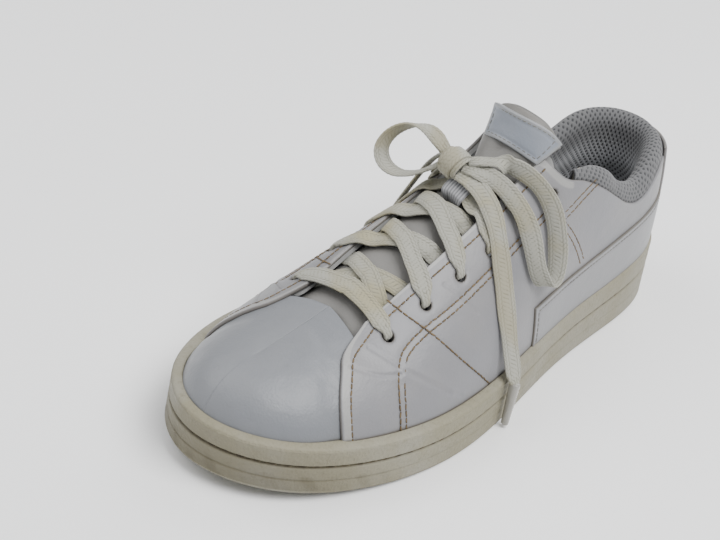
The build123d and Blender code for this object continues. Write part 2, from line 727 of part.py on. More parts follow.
# Routes of the free lace, points (x, y, z) in the part's frame, each from the knot.
LOOP_LATERAL = ((-2.6, -2.0, 90.2), (3.5, 2.2, 92.4), (9.6, 7.6, 92.4), (16.0, 12.8, 89.4), (22.0, 17.0, 84.2),
                (27.2, 19.6, 76.8), (31.4, 20.0, 67.6), (35.0, 19.0, 58.6), (38.0, 15.6, 51.4),
                (37.9, 9.8, 50.2), (35.2, 6.9, 55.6), (32.4, 5.8, 62.4), (28.9, 5.6, 69.6), (24.4, 4.9, 76.6),
                (18.5, 3.4, 82.4), (11.8, 0.8, 87.2), (4.8, -2.4, 89.4), (-2.6, -4.9, 88.4))
END_LATERAL = ((-2.6, -7.8, 86.2), (4.2, -6.4, 86.2), (10.8, -5.6, 82.6), (16.6, -6.0, 77.6),
               (22.4, -7.6, 70.6), (29.6, -9.9, 58.9), (38.6, -12.0, 41.4), (42.8, -12.8, 32.6),
               (47.0, -14.0, 26.0), (50.2, -15.4, 20.6))
LOOP_MEDIAL = ((-12.2, -4.2, 90.4), (-17.8, -4.2, 94.4), (-24.4, -5.6, 96.8), (-30.9, -8.4, 95.0),
               (-35.4, -12.0, 90.2), (-36.4, -15.4, 84.2), (-32.6, -16.6, 79.2), (-26.6, -15.2, 77.2),
               (-21.0, -12.0, 78.6), (-16.4, -9.2, 82.0), (-12.2, -7.4, 86.2))
END_MEDIAL = ((-12.2, -0.6, 89.6), (-17.6, 0.4, 86.4), (-22.2, 0.8, 80.6), (-25.7, 0.4, 73.6),
              (-31.4, -1.8, 59.2), (-36.6, -4.7, 41.0), (-39.4, -6.4, 32.0), (-42.2, -7.4, 25.6),
              (-44.4, -8.0, 20.6))


def make_cord(route):
    """Round tube along a route, each bend as large as its two runs allow."""
    points = [Vector(*p) for p in route]
    radii = []
    for before, here, after in zip(points, points[1:], points[2:]):
        first, second = here - before, after - here
        half_turn = math.radians(first.get_angle(second)) / 2
        radii.append(0.45 * min(first.length, second.length) / math.tan(half_turn))
    print("bend radii", [round(r, 1) for r in radii])
    path = FilletPolyline(*points, radius=radii).wire()
    section = Plane(origin=points[0], z_dir=points[1] - points[0]) * Circle(CORD_DIAMETER / 2)
    body = sweep(section, path=path)
    expected = math.pi * CORD_DIAMETER ** 2 / 4 * path.length
    print("length %.1f, volume over section times length %.3f" % (path.length, body.volume / expected))
    return body


def make_aglet(route, side):
    """Clear plastic tip on the lace, hanging down outside the sidewall."""
    top = Vector(*route[-1]) + Vector(side * 0.1, 0.0, -0.1)
    return Solid.make_cone(2.1, 1.5, 19.0, Plane(origin=top, z_dir=(0, 0, -1)))


# ---------------------------------------------------------------- every piece, written to its own file
def write(node, solid):
    if isinstance(solid, Compound) or len(solid.solids()) != 1:
        solid = solid.solids()[0]
    solid.label = node
    export_step(solid, "parts/" + node + ".step")
    print(node, round(solid.volume, 1), solid.is_valid)


os.makedirs("parts", exist_ok=True)
write("cupsole", make_cupsole())
write("sidewall_thread", make_sidewall_thread())
write("midsole_wedge", make_midsole_wedge())
write("strobel_board", make_strobel_board())
write("sockliner", make_sockliner())
write("vamp", make_vamp())
write("toe_puff", make_toe_puff())
write("vamp_lining", make_vamp_lining())
for side_name, side in (("lateral", 1), ("medial", -1)):
    write("quarter_" + side_name, make_quarter(side))
    write("facing_stay_" + side_name, make_facing_stay(side))
    write("quarter_lining_" + side_name, make_quarter_lining(side))
    write("side_overlay_" + side_name, make_side_overlay(side))
write("heel_panel", make_heel_panel())
write("heel_counter", make_heel_counter())
write("collar_lining", make_collar_lining())
write("collar_foam", make_collar_foam())
for layer_name, root_front in (("leather", 216.0), ("foam", 200.0), ("lining", 206.0)):
    write("tongue_root_" + layer_name, tongue_root(root_front, *TONGUE_LAYERS[layer_name]))
    write("tongue_flap_" + layer_name, tongue_flap(layer_name))
write("tongue_label", make_tongue_label())
write("lace_keeper", make_lace_keeper())
write("lace_laced", make_laced_rows())
write("lace_knot", make_knot())
write("lace_loop_lateral", make_cord(LOOP_LATERAL))
write("lace_end_lateral", make_cord(END_LATERAL))
write("lace_aglet_lateral", make_aglet(END_LATERAL, 1))
write("lace_loop_medial", make_cord(LOOP_MEDIAL))
write("lace_end_medial", make_cord(END_MEDIAL))
write("lace_aglet_medial", make_aglet(END_MEDIAL, -1))
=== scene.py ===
"""Looks of the court shoe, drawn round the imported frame.

Shapes are worked out in millimetres in the shoe's own frame and turned into metres when a mesh is made.
A place on the upper is a turn angle round the outline of the sole (+ outer side, - inner side) and a
girth, 0 at the sole and 1 on the crest.  A depth is measured outwards from the vamp leather's face.
"""
import bmesh
import bpy
import math
import numpy as np
from mathutils import Matrix, Vector


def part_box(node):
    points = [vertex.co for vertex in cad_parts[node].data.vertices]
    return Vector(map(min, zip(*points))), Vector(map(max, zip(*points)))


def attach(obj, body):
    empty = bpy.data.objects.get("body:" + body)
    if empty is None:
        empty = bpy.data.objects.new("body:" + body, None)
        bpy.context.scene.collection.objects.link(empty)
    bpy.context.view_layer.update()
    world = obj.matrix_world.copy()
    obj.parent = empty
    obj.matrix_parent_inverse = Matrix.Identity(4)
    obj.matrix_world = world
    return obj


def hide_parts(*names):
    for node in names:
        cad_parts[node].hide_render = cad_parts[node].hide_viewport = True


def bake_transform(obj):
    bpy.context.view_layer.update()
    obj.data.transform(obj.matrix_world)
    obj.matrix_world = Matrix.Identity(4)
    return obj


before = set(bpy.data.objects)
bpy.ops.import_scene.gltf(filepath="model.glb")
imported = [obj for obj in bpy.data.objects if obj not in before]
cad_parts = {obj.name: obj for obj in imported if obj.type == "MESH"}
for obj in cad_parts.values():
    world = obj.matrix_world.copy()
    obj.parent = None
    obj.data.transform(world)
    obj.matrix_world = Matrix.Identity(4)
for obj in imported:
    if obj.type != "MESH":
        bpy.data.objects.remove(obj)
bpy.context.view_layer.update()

# ---------------------------------------------------------------- driving dimensions, as in the part
LENGTH = 272.0
TIP_RADIUS = 30.0
TOE_SPRING = 6.6
SPRING_START = 186.0
FLOOR = 4.5
WALL_LEAN = 1.1
CUP_INSET = 2.95
LEATHER = 1.4
GAP = 0.05
EYELET_X = 23.4
EYELETS = (203.0, 181.3, 161.4, 144.7, 127.5, 110.0)
EYELET_BORE = 4.6
THROAT_HALF = 14.7
HINGE_S = 130.0
OUTER_WIDTHS = ((20, 28.5), (60, 36.4), (102, 40.7), (140, 48.2), (177, 53.4), (207, 51.4), (235, 43.5),
                (256, 31.0))
INNER_WIDTHS = ((20, 28.0), (56, 33.5), (88, 32.4), (121, 33.6), (154, 41.0), (186, 47.3), (216, 47.0),
                (242, 39.0), (259, 27.5))
RIM_HEIGHTS = ((0, 28.6), (56, 24.8), (112, 21.9), (158, 20.6), (205, 19.9), (272, 19.6))
BASE_HEIGHTS = ((0, 15.0), (60, 14.0), (130, 10.0), (180, 8.5), (272, 8.5))
CREST_HEIGHTS = ((55, 118), (75, 120), (92, 112), (106, 102), (125, 91), (144, 80.5), (161, 72), (178, 63.5),
                 (191, 56.5), (201, 51.5), (215, 47.5), (228, 44.5), (240, 42), (252, 39))
OUTER_SECTION = ((0, -0.01, 0.66, 0.66), (60, 0.02, 0.66, 0.66), (110, 0.04, 0.63, 0.48),
                 (160, 0.06, 0.57, 0.29), (200, 0.03, 0.63, 0.30), (240, 0.02, 0.74, 0.42),
                 (272, 0.02, 0.80, 0.55))
INNER_SECTION = ((0, -0.01, 0.66, 0.66), (60, 0.02, 0.66, 0.66), (110, 0.04, 0.63, 0.48),
                 (160, 0.05, 0.62, 0.34), (200, 0.04, 0.64, 0.38), (240, 0.04, 0.68, 0.42),
                 (272, 0.02, 0.80, 0.55))
COLLAR_EDGE = ((0, 69.0), (15, 68.5), (30, 65.0), (38, 61.2), (48, 59.2), (60, 63.0), (73, 71.0), (84, 77.5),
               (95, 82.0), (103, 84.5), (112, 95.0))
QUARTER_FRONT = ((0.0, 235.5), (0.4, 236.0), (0.6, 234.0), (0.78, 230.0), (0.92, 222.0), (1.0, 209.0))
FAN_FRONT, FAN_FRONT_PULL = 150.0, 27.0
FAN_BACK, FAN_BACK_PULL = 95.0, 52.0
PI = math.pi
LEATHER_TOP = GAP + LEATHER    # outer face of the quarters
SHOE, TONGUE = "shoe", "tongue"


# ---------------------------------------------------------------- curves and surfaces, all on arrays
def spline(knots):
    """Natural cubic spline through (x, y) knots, held level outside them."""
    xs, ys = np.array(knots, float).T
    step = np.diff(xs)
    matrix = np.eye(len(xs))
    right = np.zeros(len(xs))
    for i in range(1, len(xs) - 1):
        matrix[i, i - 1:i + 2] = step[i - 1], 2 * (step[i - 1] + step[i]), step[i]
        right[i] = 6 * ((ys[i + 1] - ys[i]) / step[i] - (ys[i] - ys[i - 1]) / step[i - 1])
    bend = np.linalg.solve(matrix, right)

    def value(x):
        x = np.clip(x, xs[0], xs[-1])
        i = np.clip(np.searchsorted(xs, x) - 1, 0, len(xs) - 2)
        a, b, h = x - xs[i], xs[i + 1] - x, step[i]
        cubic = (bend[i + 1] * a ** 3 + bend[i] * b ** 3) / (6 * h)
        return cubic + (ys[i + 1] / h - bend[i + 1] * h / 6) * a + (ys[i] / h - bend[i] * h / 6) * b

    return value


def half_width(widths):
    end = math.sqrt(TIP_RADIUS * LENGTH / 2)
    knots = [(0.0, end)]
    for s, width in widths:
        turn = math.acos(1 - 2 * s / LENGTH)
        knots.append((turn, width / math.sin(turn)))
    ratio = spline(knots + [(PI, end)])
    return lambda turn: ratio(turn) * np.sin(turn)


outer_half = half_width(OUTER_WIDTHS)
inner_half = half_width(INNER_WIDTHS)
rim_height = spline(RIM_HEIGHTS)
base_height = spline(BASE_HEIGHTS)
crest_height = spline(CREST_HEIGHTS)
collar_edge = spline(COLLAR_EDGE)
quarter_front = spline(QUARTER_FRONT)
outer_section = [spline([(k[0], k[j]) for k in OUTER_SECTION]) for j in (1, 2, 3)]
inner_section = [spline([(k[0], k[j]) for k in INNER_SECTION]) for j in (1, 2, 3)]


def turn_at(s, side=1):
    return side * np.arccos(np.clip(1 - 2 * np.asarray(s, float) / LENGTH, -1, 1))


def plain_s(turn):
    return LENGTH / 2 * (1 - np.cos(turn))


def spring(s):
    return TOE_SPRING * np.maximum((s - SPRING_START) / (LENGTH - SPRING_START), 0.0) ** 1.8


def smooth_step(x):
    x = np.clip(x, 0.0, 1.0)
    return x * x * (3 - 2 * x)


def outline(turn, inset=0.0):
    """Point (x, s) of the outsole's outline, moved inwards by inset."""
    turn = np.asarray(turn, float)
    angle = np.abs(turn)
    outer = turn >= 0

    def width(a):
        return np.where(outer, outer_half(a), inner_half(a))

    low, high = np.maximum(angle - 0.002, 0.0), np.minimum(angle + 0.002, PI)
    along = LENGTH / 2 * (np.cos(low) - np.cos(high))
    across = width(high) - width(low)
    size = np.hypot(along, across)
    x = np.maximum(width(angle) - inset * along / size, 0.0)
    return np.where(outer, x, -x), plain_s(angle) + inset * across / size


OUTLINE_X = outline(np.linspace(-PI, PI, 181))[0]
CENTRE_X = (OUTLINE_X.max() + OUTLINE_X.min()) / 2


def place(x, s, z):
    """Shoe coordinates (across, from the heel, up) to the frame's millimetres."""
    x, s, z = np.broadcast_arrays(x, s, z)
    return np.stack([x - CENTRE_X, LENGTH / 2 - s, z], axis=-1).astype(float)


def unit(v):
    return v / np.maximum(np.linalg.norm(v, axis=-1, keepdims=True), 1e-12)


def last_point(turn, girth):
    """Outer face of the vamp level of the upper."""
    turn, girth = np.broadcast_arrays(np.asarray(turn, float), np.asarray(girth, float))
    outer = turn >= 0
    s_plain = plain_s(np.abs(turn))
    inset = CUP_INSET + LEATHER * (1 - smooth_step((s_plain - 234) / 20)) + GAP
    x0, s0 = outline(turn, inset)
    front = FAN_FRONT_PULL * np.maximum((s0 - FAN_FRONT) / (LENGTH - CUP_INSET - FAN_FRONT), 0) ** 2
    back = FAN_BACK_PULL * np.maximum((FAN_BACK - s0) / (FAN_BACK - CUP_INSET - LEATHER), 0) ** 2
    crest_s = s0 - front + back
    crest_z = crest_height(crest_s)
    lean, wall, crown = [np.where(outer, f(s0), g(s0)) for f, g in zip(outer_section, inner_section)]
    base_z = base_height(s0) + spring(s0)
    reach = np.hypot(x0, s0 - crest_s)
    ex, es = x0 / reach, (s0 - crest_s) / reach
    poles = ((x0, s0, base_z),
             (x0 - ex * lean * reach, s0 - es * lean * reach, base_z + wall * (crest_z - base_z)),
             (ex * crown * reach, crest_s + es * crown * reach, crest_z),
             (0.0, crest_s, crest_z))
    w = ((1 - girth) ** 3, 3 * girth * (1 - girth) ** 2, 3 * girth ** 2 * (1 - girth), girth ** 3)
    return place(*(sum(w[k] * poles[k][j] for k in range(4)) for j in range(3)))


def last_normal(turn, girth):
    turn, girth = np.broadcast_arrays(np.asarray(turn, float), np.asarray(girth, float))
    e = 0.002
    side = np.where(turn >= 0, 1.0, -1.0)
    t0 = side * np.clip(np.abs(turn) - e, 1e-4, PI)
    t1 = side * np.clip(np.abs(turn) + e, 1e-4, PI)
    along = (last_point(t1, girth) - last_point(t0, girth)) * side[..., None]
    up = last_point(turn, np.minimum(girth + e, 1)) - last_point(turn, np.maximum(girth - e, 0))
    return unit(np.cross(up, along))


def skin(turn, girth, depth):
    depth = np.asarray(depth, float)
    return last_point(turn, girth) + last_normal(turn, girth) * depth[..., None]


def solve(test, like):
    """Girth between 0 and 1 at which a rising test passes zero."""
    low, high = np.zeros(np.shape(like)), np.ones(np.shape(like))
    for _ in range(26):
        middle = (low + high) / 2
        below = test(middle) < 0
        low, high = np.where(below, middle, low), np.where(below, high, middle)
    return (low + high) / 2


def girth_at_z(turn, z):
    return solve(lambda g: last_point(turn, g)[..., 2] - z, turn)


def girth_at_x(turn, x):
    return solve(lambda g: np.abs(x) - np.abs(last_point(turn, g)[..., 0] + CENTRE_X), turn)


def instep(s, x):
    """Vamp level and its normal at x across the instep, on the girth line that starts at s."""
    s, x = np.broadcast_arrays(np.asarray(s, float), np.asarray(x, float))
    turn = turn_at(s, np.where(x >= 0, 1.0, -1.0))
    girth = girth_at_x(turn, x)
    return last_point(turn, girth), last_normal(turn, girth)


def edge_girth(turn):
    """Top edge of the quarters: the facing's edge along the throat, then round the ankle."""
    s = plain_s(np.abs(turn))
    throat = np.where(s > 95, girth_at_x(turn, THROAT_HALF), 1.0)
    ankle = girth_at_z(turn, collar_edge(s))
    soft = 0.012
    low = np.minimum(throat, ankle)
    blend = np.exp(np.clip((low - throat) / soft, -60, 0)) + np.exp(np.clip((low - ankle) / soft, -60, 0))
    return np.where(s > 112, throat, low - soft * np.log(blend))


def wrinkle(points, size, seed):
    """Smooth unevenness between about -1 and 1 with bumps of a given size, the same on every run."""
    rng = np.random.default_rng(seed)
    total = np.zeros(points.shape[:-1])
    for _ in range(7):
        direction = unit(rng.normal(size=3)) * 2 * PI / size * rng.uniform(0.6, 1.5)
        total += np.sin(points @ direction + rng.uniform(0, 2 * PI))
    return total / 3.2


def near(points, line):
    """Distance of every point from a polyline."""
    best = np.full(points.shape[:-1], 1e9)
    for a, b in zip(line[:-1], line[1:]):
        ab = b - a
        t = np.clip(((points - a) @ ab) / max(ab @ ab, 1e-9), 0, 1)
        best = np.minimum(best, np.linalg.norm(points - a - t[..., None] * ab, axis=-1))
    return best


# ---------------------------------------------------------------- meshes
def make_object(name, points, faces, values=None, smooth=True):
    """Object from millimetre points; values are per-point numbers that its material reads."""
    mesh = bpy.data.meshes.new(name)
    mesh.from_pydata((np.asarray(points) / 1000).tolist(), [], [list(map(int, f)) for f in faces])
    for key, data in (values or {}).items():
        mesh.attributes.new(key, "FLOAT", "POINT").data.foreach_set("value", np.asarray(data, np.float32).ravel())
    bm = bmesh.new()
    bm.from_mesh(mesh)
    bmesh.ops.remove_doubles(bm, verts=bm.verts, dist=2e-6)
    bmesh.ops.dissolve_degenerate(bm, dist=1e-6, edges=bm.edges)
    bmesh.ops.recalc_face_normals(bm, faces=bm.faces)
    for face in bm.faces:
        face.smooth = smooth
    bm.to_mesh(mesh)
    bm.free()
    piece = bpy.data.objects.new(name, mesh)
    bpy.context.scene.collection.objects.link(piece)
    return piece


def grid_quads(rows, columns, keep=None, wrap=False):
    i, j = np.meshgrid(np.arange(rows - (0 if wrap else 1)), np.arange(columns - 1), indexing="ij")
    i2 = (i + 1) % rows
    quads = np.stack([i * columns + j, i2 * columns + j, i2 * columns + j + 1, i * columns + j + 1], -1)
    return quads[keep] if keep is not None else quads.reshape(-1, 4)


def shell(name, top, bottom, keep=None, values=None):
    """Closed sheet between two grids with the same layout; keep marks the cells that stay."""
    rows, columns = top.shape[:2]
    keep = np.ones((rows - 1, columns - 1), bool) if keep is None else keep
    quads = grid_quads(rows, columns, keep)
    count = rows * columns
    faces = list(quads) + list(quads[:, ::-1] + count)
    pad = np.pad(keep, 1)
    for (i, j) in np.argwhere(pad[1:, 1:-1] != pad[:-1, 1:-1]):
        a, b = i * columns + j, i * columns + j + 1
        faces.append((a, b, b + count, a + count))
    for (i, j) in np.argwhere(pad[1:-1, 1:] != pad[1:-1, :-1]):
        a, b = i * columns + j, (i + 1) * columns + j
        faces.append((a, b, b + count, a + count))
    points = np.concatenate([top.reshape(-1, 3), bottom.reshape(-1, 3)])
    doubled = {k: np.concatenate([np.ravel(v), np.ravel(v)]) for k, v in (values or {}).items()}
    piece = make_object(name, points, faces, doubled)
    loose = bmesh.new()
    loose.from_mesh(piece.data)
    bmesh.ops.delete(loose, geom=[v for v in loose.verts if not v.link_faces], context="VERTS")
    loose.to_mesh(piece.data)
    loose.free()
    return piece


def edge_distance(points, ends=True, sides=True):
    """How far each grid point is from the sheet's border, along the grid."""
    best = np.full(points.shape[:2], 1e9)
    for axis, use in ((0, ends), (1, sides)):
        if use:
            steps = np.linalg.norm(np.diff(points, axis=axis), axis=-1)
            run = np.cumsum(steps, axis=axis)
            run = np.concatenate([np.zeros_like(np.take(run, [0], axis)), run], axis=axis)
            best = np.minimum(best, np.minimum(run, np.take(run, [-1], axis) - run))
    return best


def rounded(edge, radius):
    """How far a cut edge of that radius drops below the sheet's face."""
    inside = np.clip(edge / radius, 0, 1)
    return radius * (1 - np.sqrt(1 - (1 - inside) ** 2))


def ease_border(count, fine=0.4):
    """Shares from 0 to 1 with a few extra rows beside both ends, for rounded edges."""
    t = np.linspace(0, 1, count)
    return np.concatenate([[0, fine / count, 2 * fine / count], t[1:-1], [1 - 2 * fine / count, 1 - fine / count, 1]])


def stitches(name, lines, pitch=2.5, length=1.95, width=0.55, height=0.42, seed=1):
    """Thread lying in separate stitches along lines of (points, normals)."""
    rng = np.random.default_rng(seed)
    around, along = 8, 7
    lat = np.linspace(0, PI, along)
    lon = np.linspace(0, 2 * PI, around, endpoint=False)
    shape = np.stack([np.repeat(-np.cos(lat), around) * 1.0,
                      np.outer(np.sin(lat) ** 0.6, np.cos(lon)).ravel(),
                      np.outer(np.sin(lat) ** 0.6, np.sin(lon)).ravel()], -1)
    ends = np.repeat(np.cos(lat) ** 2, around)
    cells = grid_quads(along, around)
    ring = np.stack([np.arange(along - 1) * around + around - 1, (np.arange(along - 1) + 1) * around + around - 1,
                     (np.arange(along - 1) + 1) * around, np.arange(along - 1) * around], -1)
    cells = np.concatenate([cells, ring])
    points, faces, tones = [], [], []
    for line, normals in lines:
        run = np.concatenate([[0], np.cumsum(np.linalg.norm(np.diff(line, axis=0), axis=1))])
        count = max(int(run[-1] / pitch), 1)
        middles = (np.arange(count) + 0.5) * run[-1] / count

        def at(d, data):
            return np.stack([np.interp(d, run, data[:, k]) for k in range(3)], -1)

        centre, normal = at(middles, line), unit(at(middles, normals))
        tangent = unit(at(middles + 0.6, line) - at(middles - 0.6, line))
        cross = np.cross(normal, tangent)
        for c, t, b, n in zip(centre, tangent, cross, normal):
            wobble = rng.normal(0, 0.06, 3)
            t = unit(t + b * wobble[0])
            size = length * (1 + wobble[1]) * run[-1] / count / pitch
            local = shape * (size / 2, width / 2, height / 2)
            faces.append(cells + len(points) * len(shape))
            points.append(c + local[:, :1] * t + local[:, 1:2] * b + local[:, 2:] * n)
            tones.append(np.clip(0.35 * rng.uniform(0, 1) + 0.8 * ends, 0, 1))
    piece = make_object(name, np.concatenate(points), np.concatenate(faces), {"tone": np.concatenate(tones)})
    return piece


def trace(side, knots, depth, step=0.8):
    """Line on the upper through (s, girth) knots, as (points, normals)."""
    knots = np.array(knots, float)
    if len(knots) > 2:
        chord = np.concatenate([[0], np.cumsum(np.hypot(np.diff(knots[:, 0]), 90 * np.diff(knots[:, 1])))])
        t = np.linspace(0, chord[-1], int(chord[-1] / step) + 2)
        s = spline(list(zip(chord, knots[:, 0])))(t)
        g = spline(list(zip(chord, knots[:, 1])))(t)
    else:
        t = np.linspace(0, 1, 60)
        s, g = (knots[0, k] + (knots[1, k] - knots[0, k]) * t for k in (0, 1))
    turn = turn_at(s, side)
    return skin(turn, g, np.full(len(s), depth)), last_normal(turn, g)


# ---------------------------------------------------------------- materials
def material(name, base, roughness, tints=(), bumps=(), **sockets):
    """Principled material.  A tint is (source, size mm, colour, low, high, strength), where the source is
    "noise", "cells" or the name of a per-point value; a bump is (source, size mm, depth mm)."""
    made = bpy.data.materials.new(name)
    made.use_nodes = True
    nodes, links = made.node_tree.nodes, made.node_tree.links
    shader = nodes["Principled BSDF"]
    shader.inputs["Base Color"].default_value = (*base, 1)
    shader.inputs["Roughness"].default_value = roughness
    for key, value in sockets.items():
        shader.inputs[key.replace("_", " ")].default_value = value
    where = nodes.new("ShaderNodeTexCoord").outputs["Object"]

    def source(kind, size):
        if kind == "noise":
            node = nodes.new("ShaderNodeTexNoise")
            node.inputs["Scale"].default_value = 1000 / size
            node.inputs["Detail"].default_value = 5
            node.inputs["Roughness"].default_value = 0.6
            links.new(where, node.inputs["Vector"])
            return node.outputs["Fac"]
        if kind == "cells":
            node = nodes.new("ShaderNodeTexVoronoi")
            node.inputs["Scale"].default_value = 1000 / size
            links.new(where, node.inputs["Vector"])
            return node.outputs["Distance"]
        node = nodes.new("ShaderNodeAttribute")
        node.attribute_name = kind
        return node.outputs["Fac"]

    colour = None
    for kind, size, rgb, low, high, strength in tints:
        ramp = nodes.new("ShaderNodeMapRange")
        ramp.interpolation_type = "SMOOTHSTEP"
        links.new(source(kind, size), ramp.inputs["Value"])
        for key, value in (("From Min", low), ("From Max", high), ("To Min", 0.0), ("To Max", strength)):
            ramp.inputs[key].default_value = value
        mix = nodes.new("ShaderNodeMix")
        mix.data_type = "RGBA"
        links.new(ramp.outputs["Result"], mix.inputs[0])
        mix.inputs[6].default_value = (*base, 1)
        mix.inputs[7].default_value = (*rgb, 1)
        if colour is not None:
            links.new(colour, mix.inputs[6])
        colour = mix.outputs[2]
    if colour is not None:
        links.new(colour, shader.inputs["Base Color"])
    normal = None
    for kind, size, depth in bumps:
        bump = nodes.new("ShaderNodeBump")
        bump.inputs["Distance"].default_value = depth / 1000
        links.new(source(kind, size), bump.inputs["Height"])
        if normal is not None:
            links.new(normal, bump.inputs["Normal"])
        normal = bump.outputs["Normal"]
    if normal is not None:
        links.new(normal, shader.inputs["Normal"])
    return made


GRAIN = (("cells", 0.9, 0.05), ("noise", 9.0, 0.35))
vamp_leather = material("vamp_leather", (0.190, 0.196, 0.208), 0.42, (
    ("noise", 60, (0.160, 0.170, 0.188), 0.35, 0.7, 0.7), ("noise", 5, (0.145, 0.152, 0.163), 0.62, 0.8, 0.35),
    ("dirt_and_shade", 1, (0.07, 0.056, 0.03), 0.0, 1.0, 0.85), ("cells", 1.6, (0.08, 0.083, 0.087), 0.06, 0.0, 0.2)),
    GRAIN, Coat_Weight=0.05, Coat_Roughness=0.4)
quarter_leather = material("quarter_leather", (0.222, 0.217, 0.220), 0.42, (
    ("noise", 45, (0.188, 0.190, 0.206), 0.35, 0.7, 0.7), ("noise", 6, (0.175, 0.166, 0.154), 0.62, 0.8, 0.35),
    ("rim", 1, (0.32, 0.315, 0.30), 0.0, 1.0, 0.75), ("dirt_and_shade", 1, (0.07, 0.053, 0.028), 0.0, 1.0, 0.9)),
    GRAIN, Coat_Weight=0.05, Coat_Roughness=0.4)
overlay_leather = material("overlay_leather", (0.208, 0.208, 0.215), 0.38, (
    ("noise", 30, (0.180, 0.184, 0.198), 0.4, 0.7, 0.6), ("dirt_and_shade", 1, (0.07, 0.056, 0.03), 0.0, 1.0, 0.85)),
    GRAIN, Coat_Weight=0.08, Coat_Roughness=0.35)
tongue_leather = material("tongue_leather", (0.185, 0.179, 0.168), 0.5, (
    ("noise", 20, (0.155, 0.150, 0.140), 0.4, 0.7, 0.6), ("dirt_and_shade", 1, (0.08, 0.07, 0.055), 0.0, 1.0, 0.7)), GRAIN)
label_leather = material("label_leather", (0.222, 0.243, 0.280), 0.36, (
    ("noise", 14, (0.265, 0.283, 0.315), 0.4, 0.7, 0.6), ("rim", 1, (0.27, 0.268, 0.26), 0.0, 1.0, 0.6)),
    (("cells", 0.8, 0.04), ("noise", 7, 0.3)), Coat_Weight=0.12)
# The sole's dark tint carries dirt, and painted shade on the lower toe wall.
sole_rubber = material("sole_rubber", (0.265, 0.252, 0.200), 0.66, (
    ("noise", 40, (0.215, 0.195, 0.125), 0.35, 0.7, 0.8), ("noise", 2.2, (0.165, 0.148, 0.10), 0.5, 0.8, 0.6),
    ("cells", 1.3, (0.12, 0.108, 0.075), 0.14, 0.0, 0.4), ("dirt_and_shade", 1, (0.068, 0.056, 0.028), 0.0, 1.0, 0.9)),
    (("cells", 1.2, 0.20), ("noise", 1.8, 0.26)))
tread_thread = material("tread_thread", (0.055, 0.042, 0.026), 0.8, (
    ("tone", 1, (0.16, 0.13, 0.075), 0.0, 1.0, 0.9),), (("noise", 0.5, 0.1),))
brown_thread = material("brown_thread", (0.145, 0.098, 0.045), 0.75, (
    ("tone", 1, (0.035, 0.024, 0.015), 0.0, 1.0, 0.95),), (("noise", 0.3, 0.08),))
pale_thread = material("pale_thread", (0.17, 0.163, 0.14), 0.7, (
    ("tone", 1, (0.115, 0.108, 0.09), 0.0, 1.0, 0.9),), (("noise", 0.3, 0.08),))
grey_mesh = material("grey_mesh", (0.130, 0.130, 0.132), 0.9, (
    # Painted light: the mesh turns lighter the deeper it lies inside the collar, against the shade there.
    ("noise", 18, (0.108, 0.108, 0.112), 0.35, 0.7, 0.6), ("painted_light_inside", 1, (0.42, 0.425, 0.44), 0.0, 1.0, 0.9),
    # Painted shade: near black in the holes, which are only shallow dents in the sheet.
    ("hole", 1, (0.03, 0.03, 0.034), 0.1, 0.9, 0.85)),
    (("noise", 0.5, 0.1),), Sheen_Weight=0.15)
lace_cotton = material("lace_cotton", (0.325, 0.32, 0.275), 0.85, (
    # Painted shade: darker in the gaps between the braid's strands.
    ("noise", 34, (0.31, 0.275, 0.155), 0.48, 0.68, 0.7), ("shaded_gap", 1, (0.125, 0.12, 0.09), 0.25, 1.0, 0.85),
    ("stain", 1, (0.25, 0.205, 0.085), 0.0, 1.0, 0.7)), (("noise", 0.35, 0.06),), Sheen_Weight=0.12)
elastic = material("elastic", (0.32, 0.322, 0.33), 0.8, (
    # Painted shade: darker in the valleys between the ribs.
    ("shaded_gap", 1, (0.15, 0.15, 0.158), 0.0, 1.0, 0.85),), (("noise", 0.4, 0.05),), Sheen_Weight=0.1)
aglet_plastic = material("aglet_plastic", (0.28, 0.27, 0.24), 0.16, (
    ("noise", 6, (0.225, 0.212, 0.175), 0.4, 0.7, 0.5),), (("noise", 4, 0.1),), Coat_Weight=0.5)
plain_foam = material("plain_foam", (0.40, 0.38, 0.32), 0.9, (
    ("cells", 1.0, (0.28, 0.265, 0.22), 0.3, 0.0, 0.5),), (("cells", 0.8, 0.2),))
fibre_board = material("fibre_board", (0.30, 0.28, 0.23), 0.9, (
    ("noise", 2, (0.22, 0.205, 0.17), 0.4, 0.7, 0.6),), (("noise", 0.6, 0.1),))
lining_cloth = material("lining_cloth", (0.25, 0.25, 0.245), 0.9, (
    ("noise", 12, (0.20, 0.20, 0.20), 0.4, 0.7, 0.6),), (("noise", 0.4, 0.1),), Sheen_Weight=0.1)
sock_cloth = material("sock_cloth", (0.16, 0.162, 0.166), 0.95, (
    ("noise", 16, (0.12, 0.12, 0.122), 0.4, 0.7, 0.7),), (("noise", 0.5, 0.12),), Sheen_Weight=0.15)


def settle(piece, finish, slot, *nodes, body=SHOE):
    """Gives a finished piece its material and its body, and hides the CAD nodes that it stands for."""
    piece.data.materials.clear()
    piece.data.materials.append(finish)
    if body:
        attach(piece, body)
    if nodes:
        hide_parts(*nodes)
    return piece


# ---------------------------------------------------------------- sole
SIDEWALL_LINES = ((0.39, 0.7, 1.0), (0.69, 0.4, 0.25))      # share down from the rim, half height, depth


def sidewall_z(share, s):
    return rim_height(s) * (1 - share) + spring(s)


def tread_depth(x, s):
    """Herringbone grooves in the underside, in two fields, none of them beside the edge."""
    zigzag = 5.0 * np.abs((x / 14.0) % 1.0 - 0.5) * 2
    groove = smooth_step((np.abs(((s + zigzag * 1.6) / 7.0) % 1.0 - 0.5) * 7.0 - 2.2) / 0.6)
    field = smooth_step((s - 14) / 2) * smooth_step((82 - s) / 2)
    field += smooth_step((s - 136) / 2) * smooth_step((252 - s) / 2)
    return 1.1 * groove * field


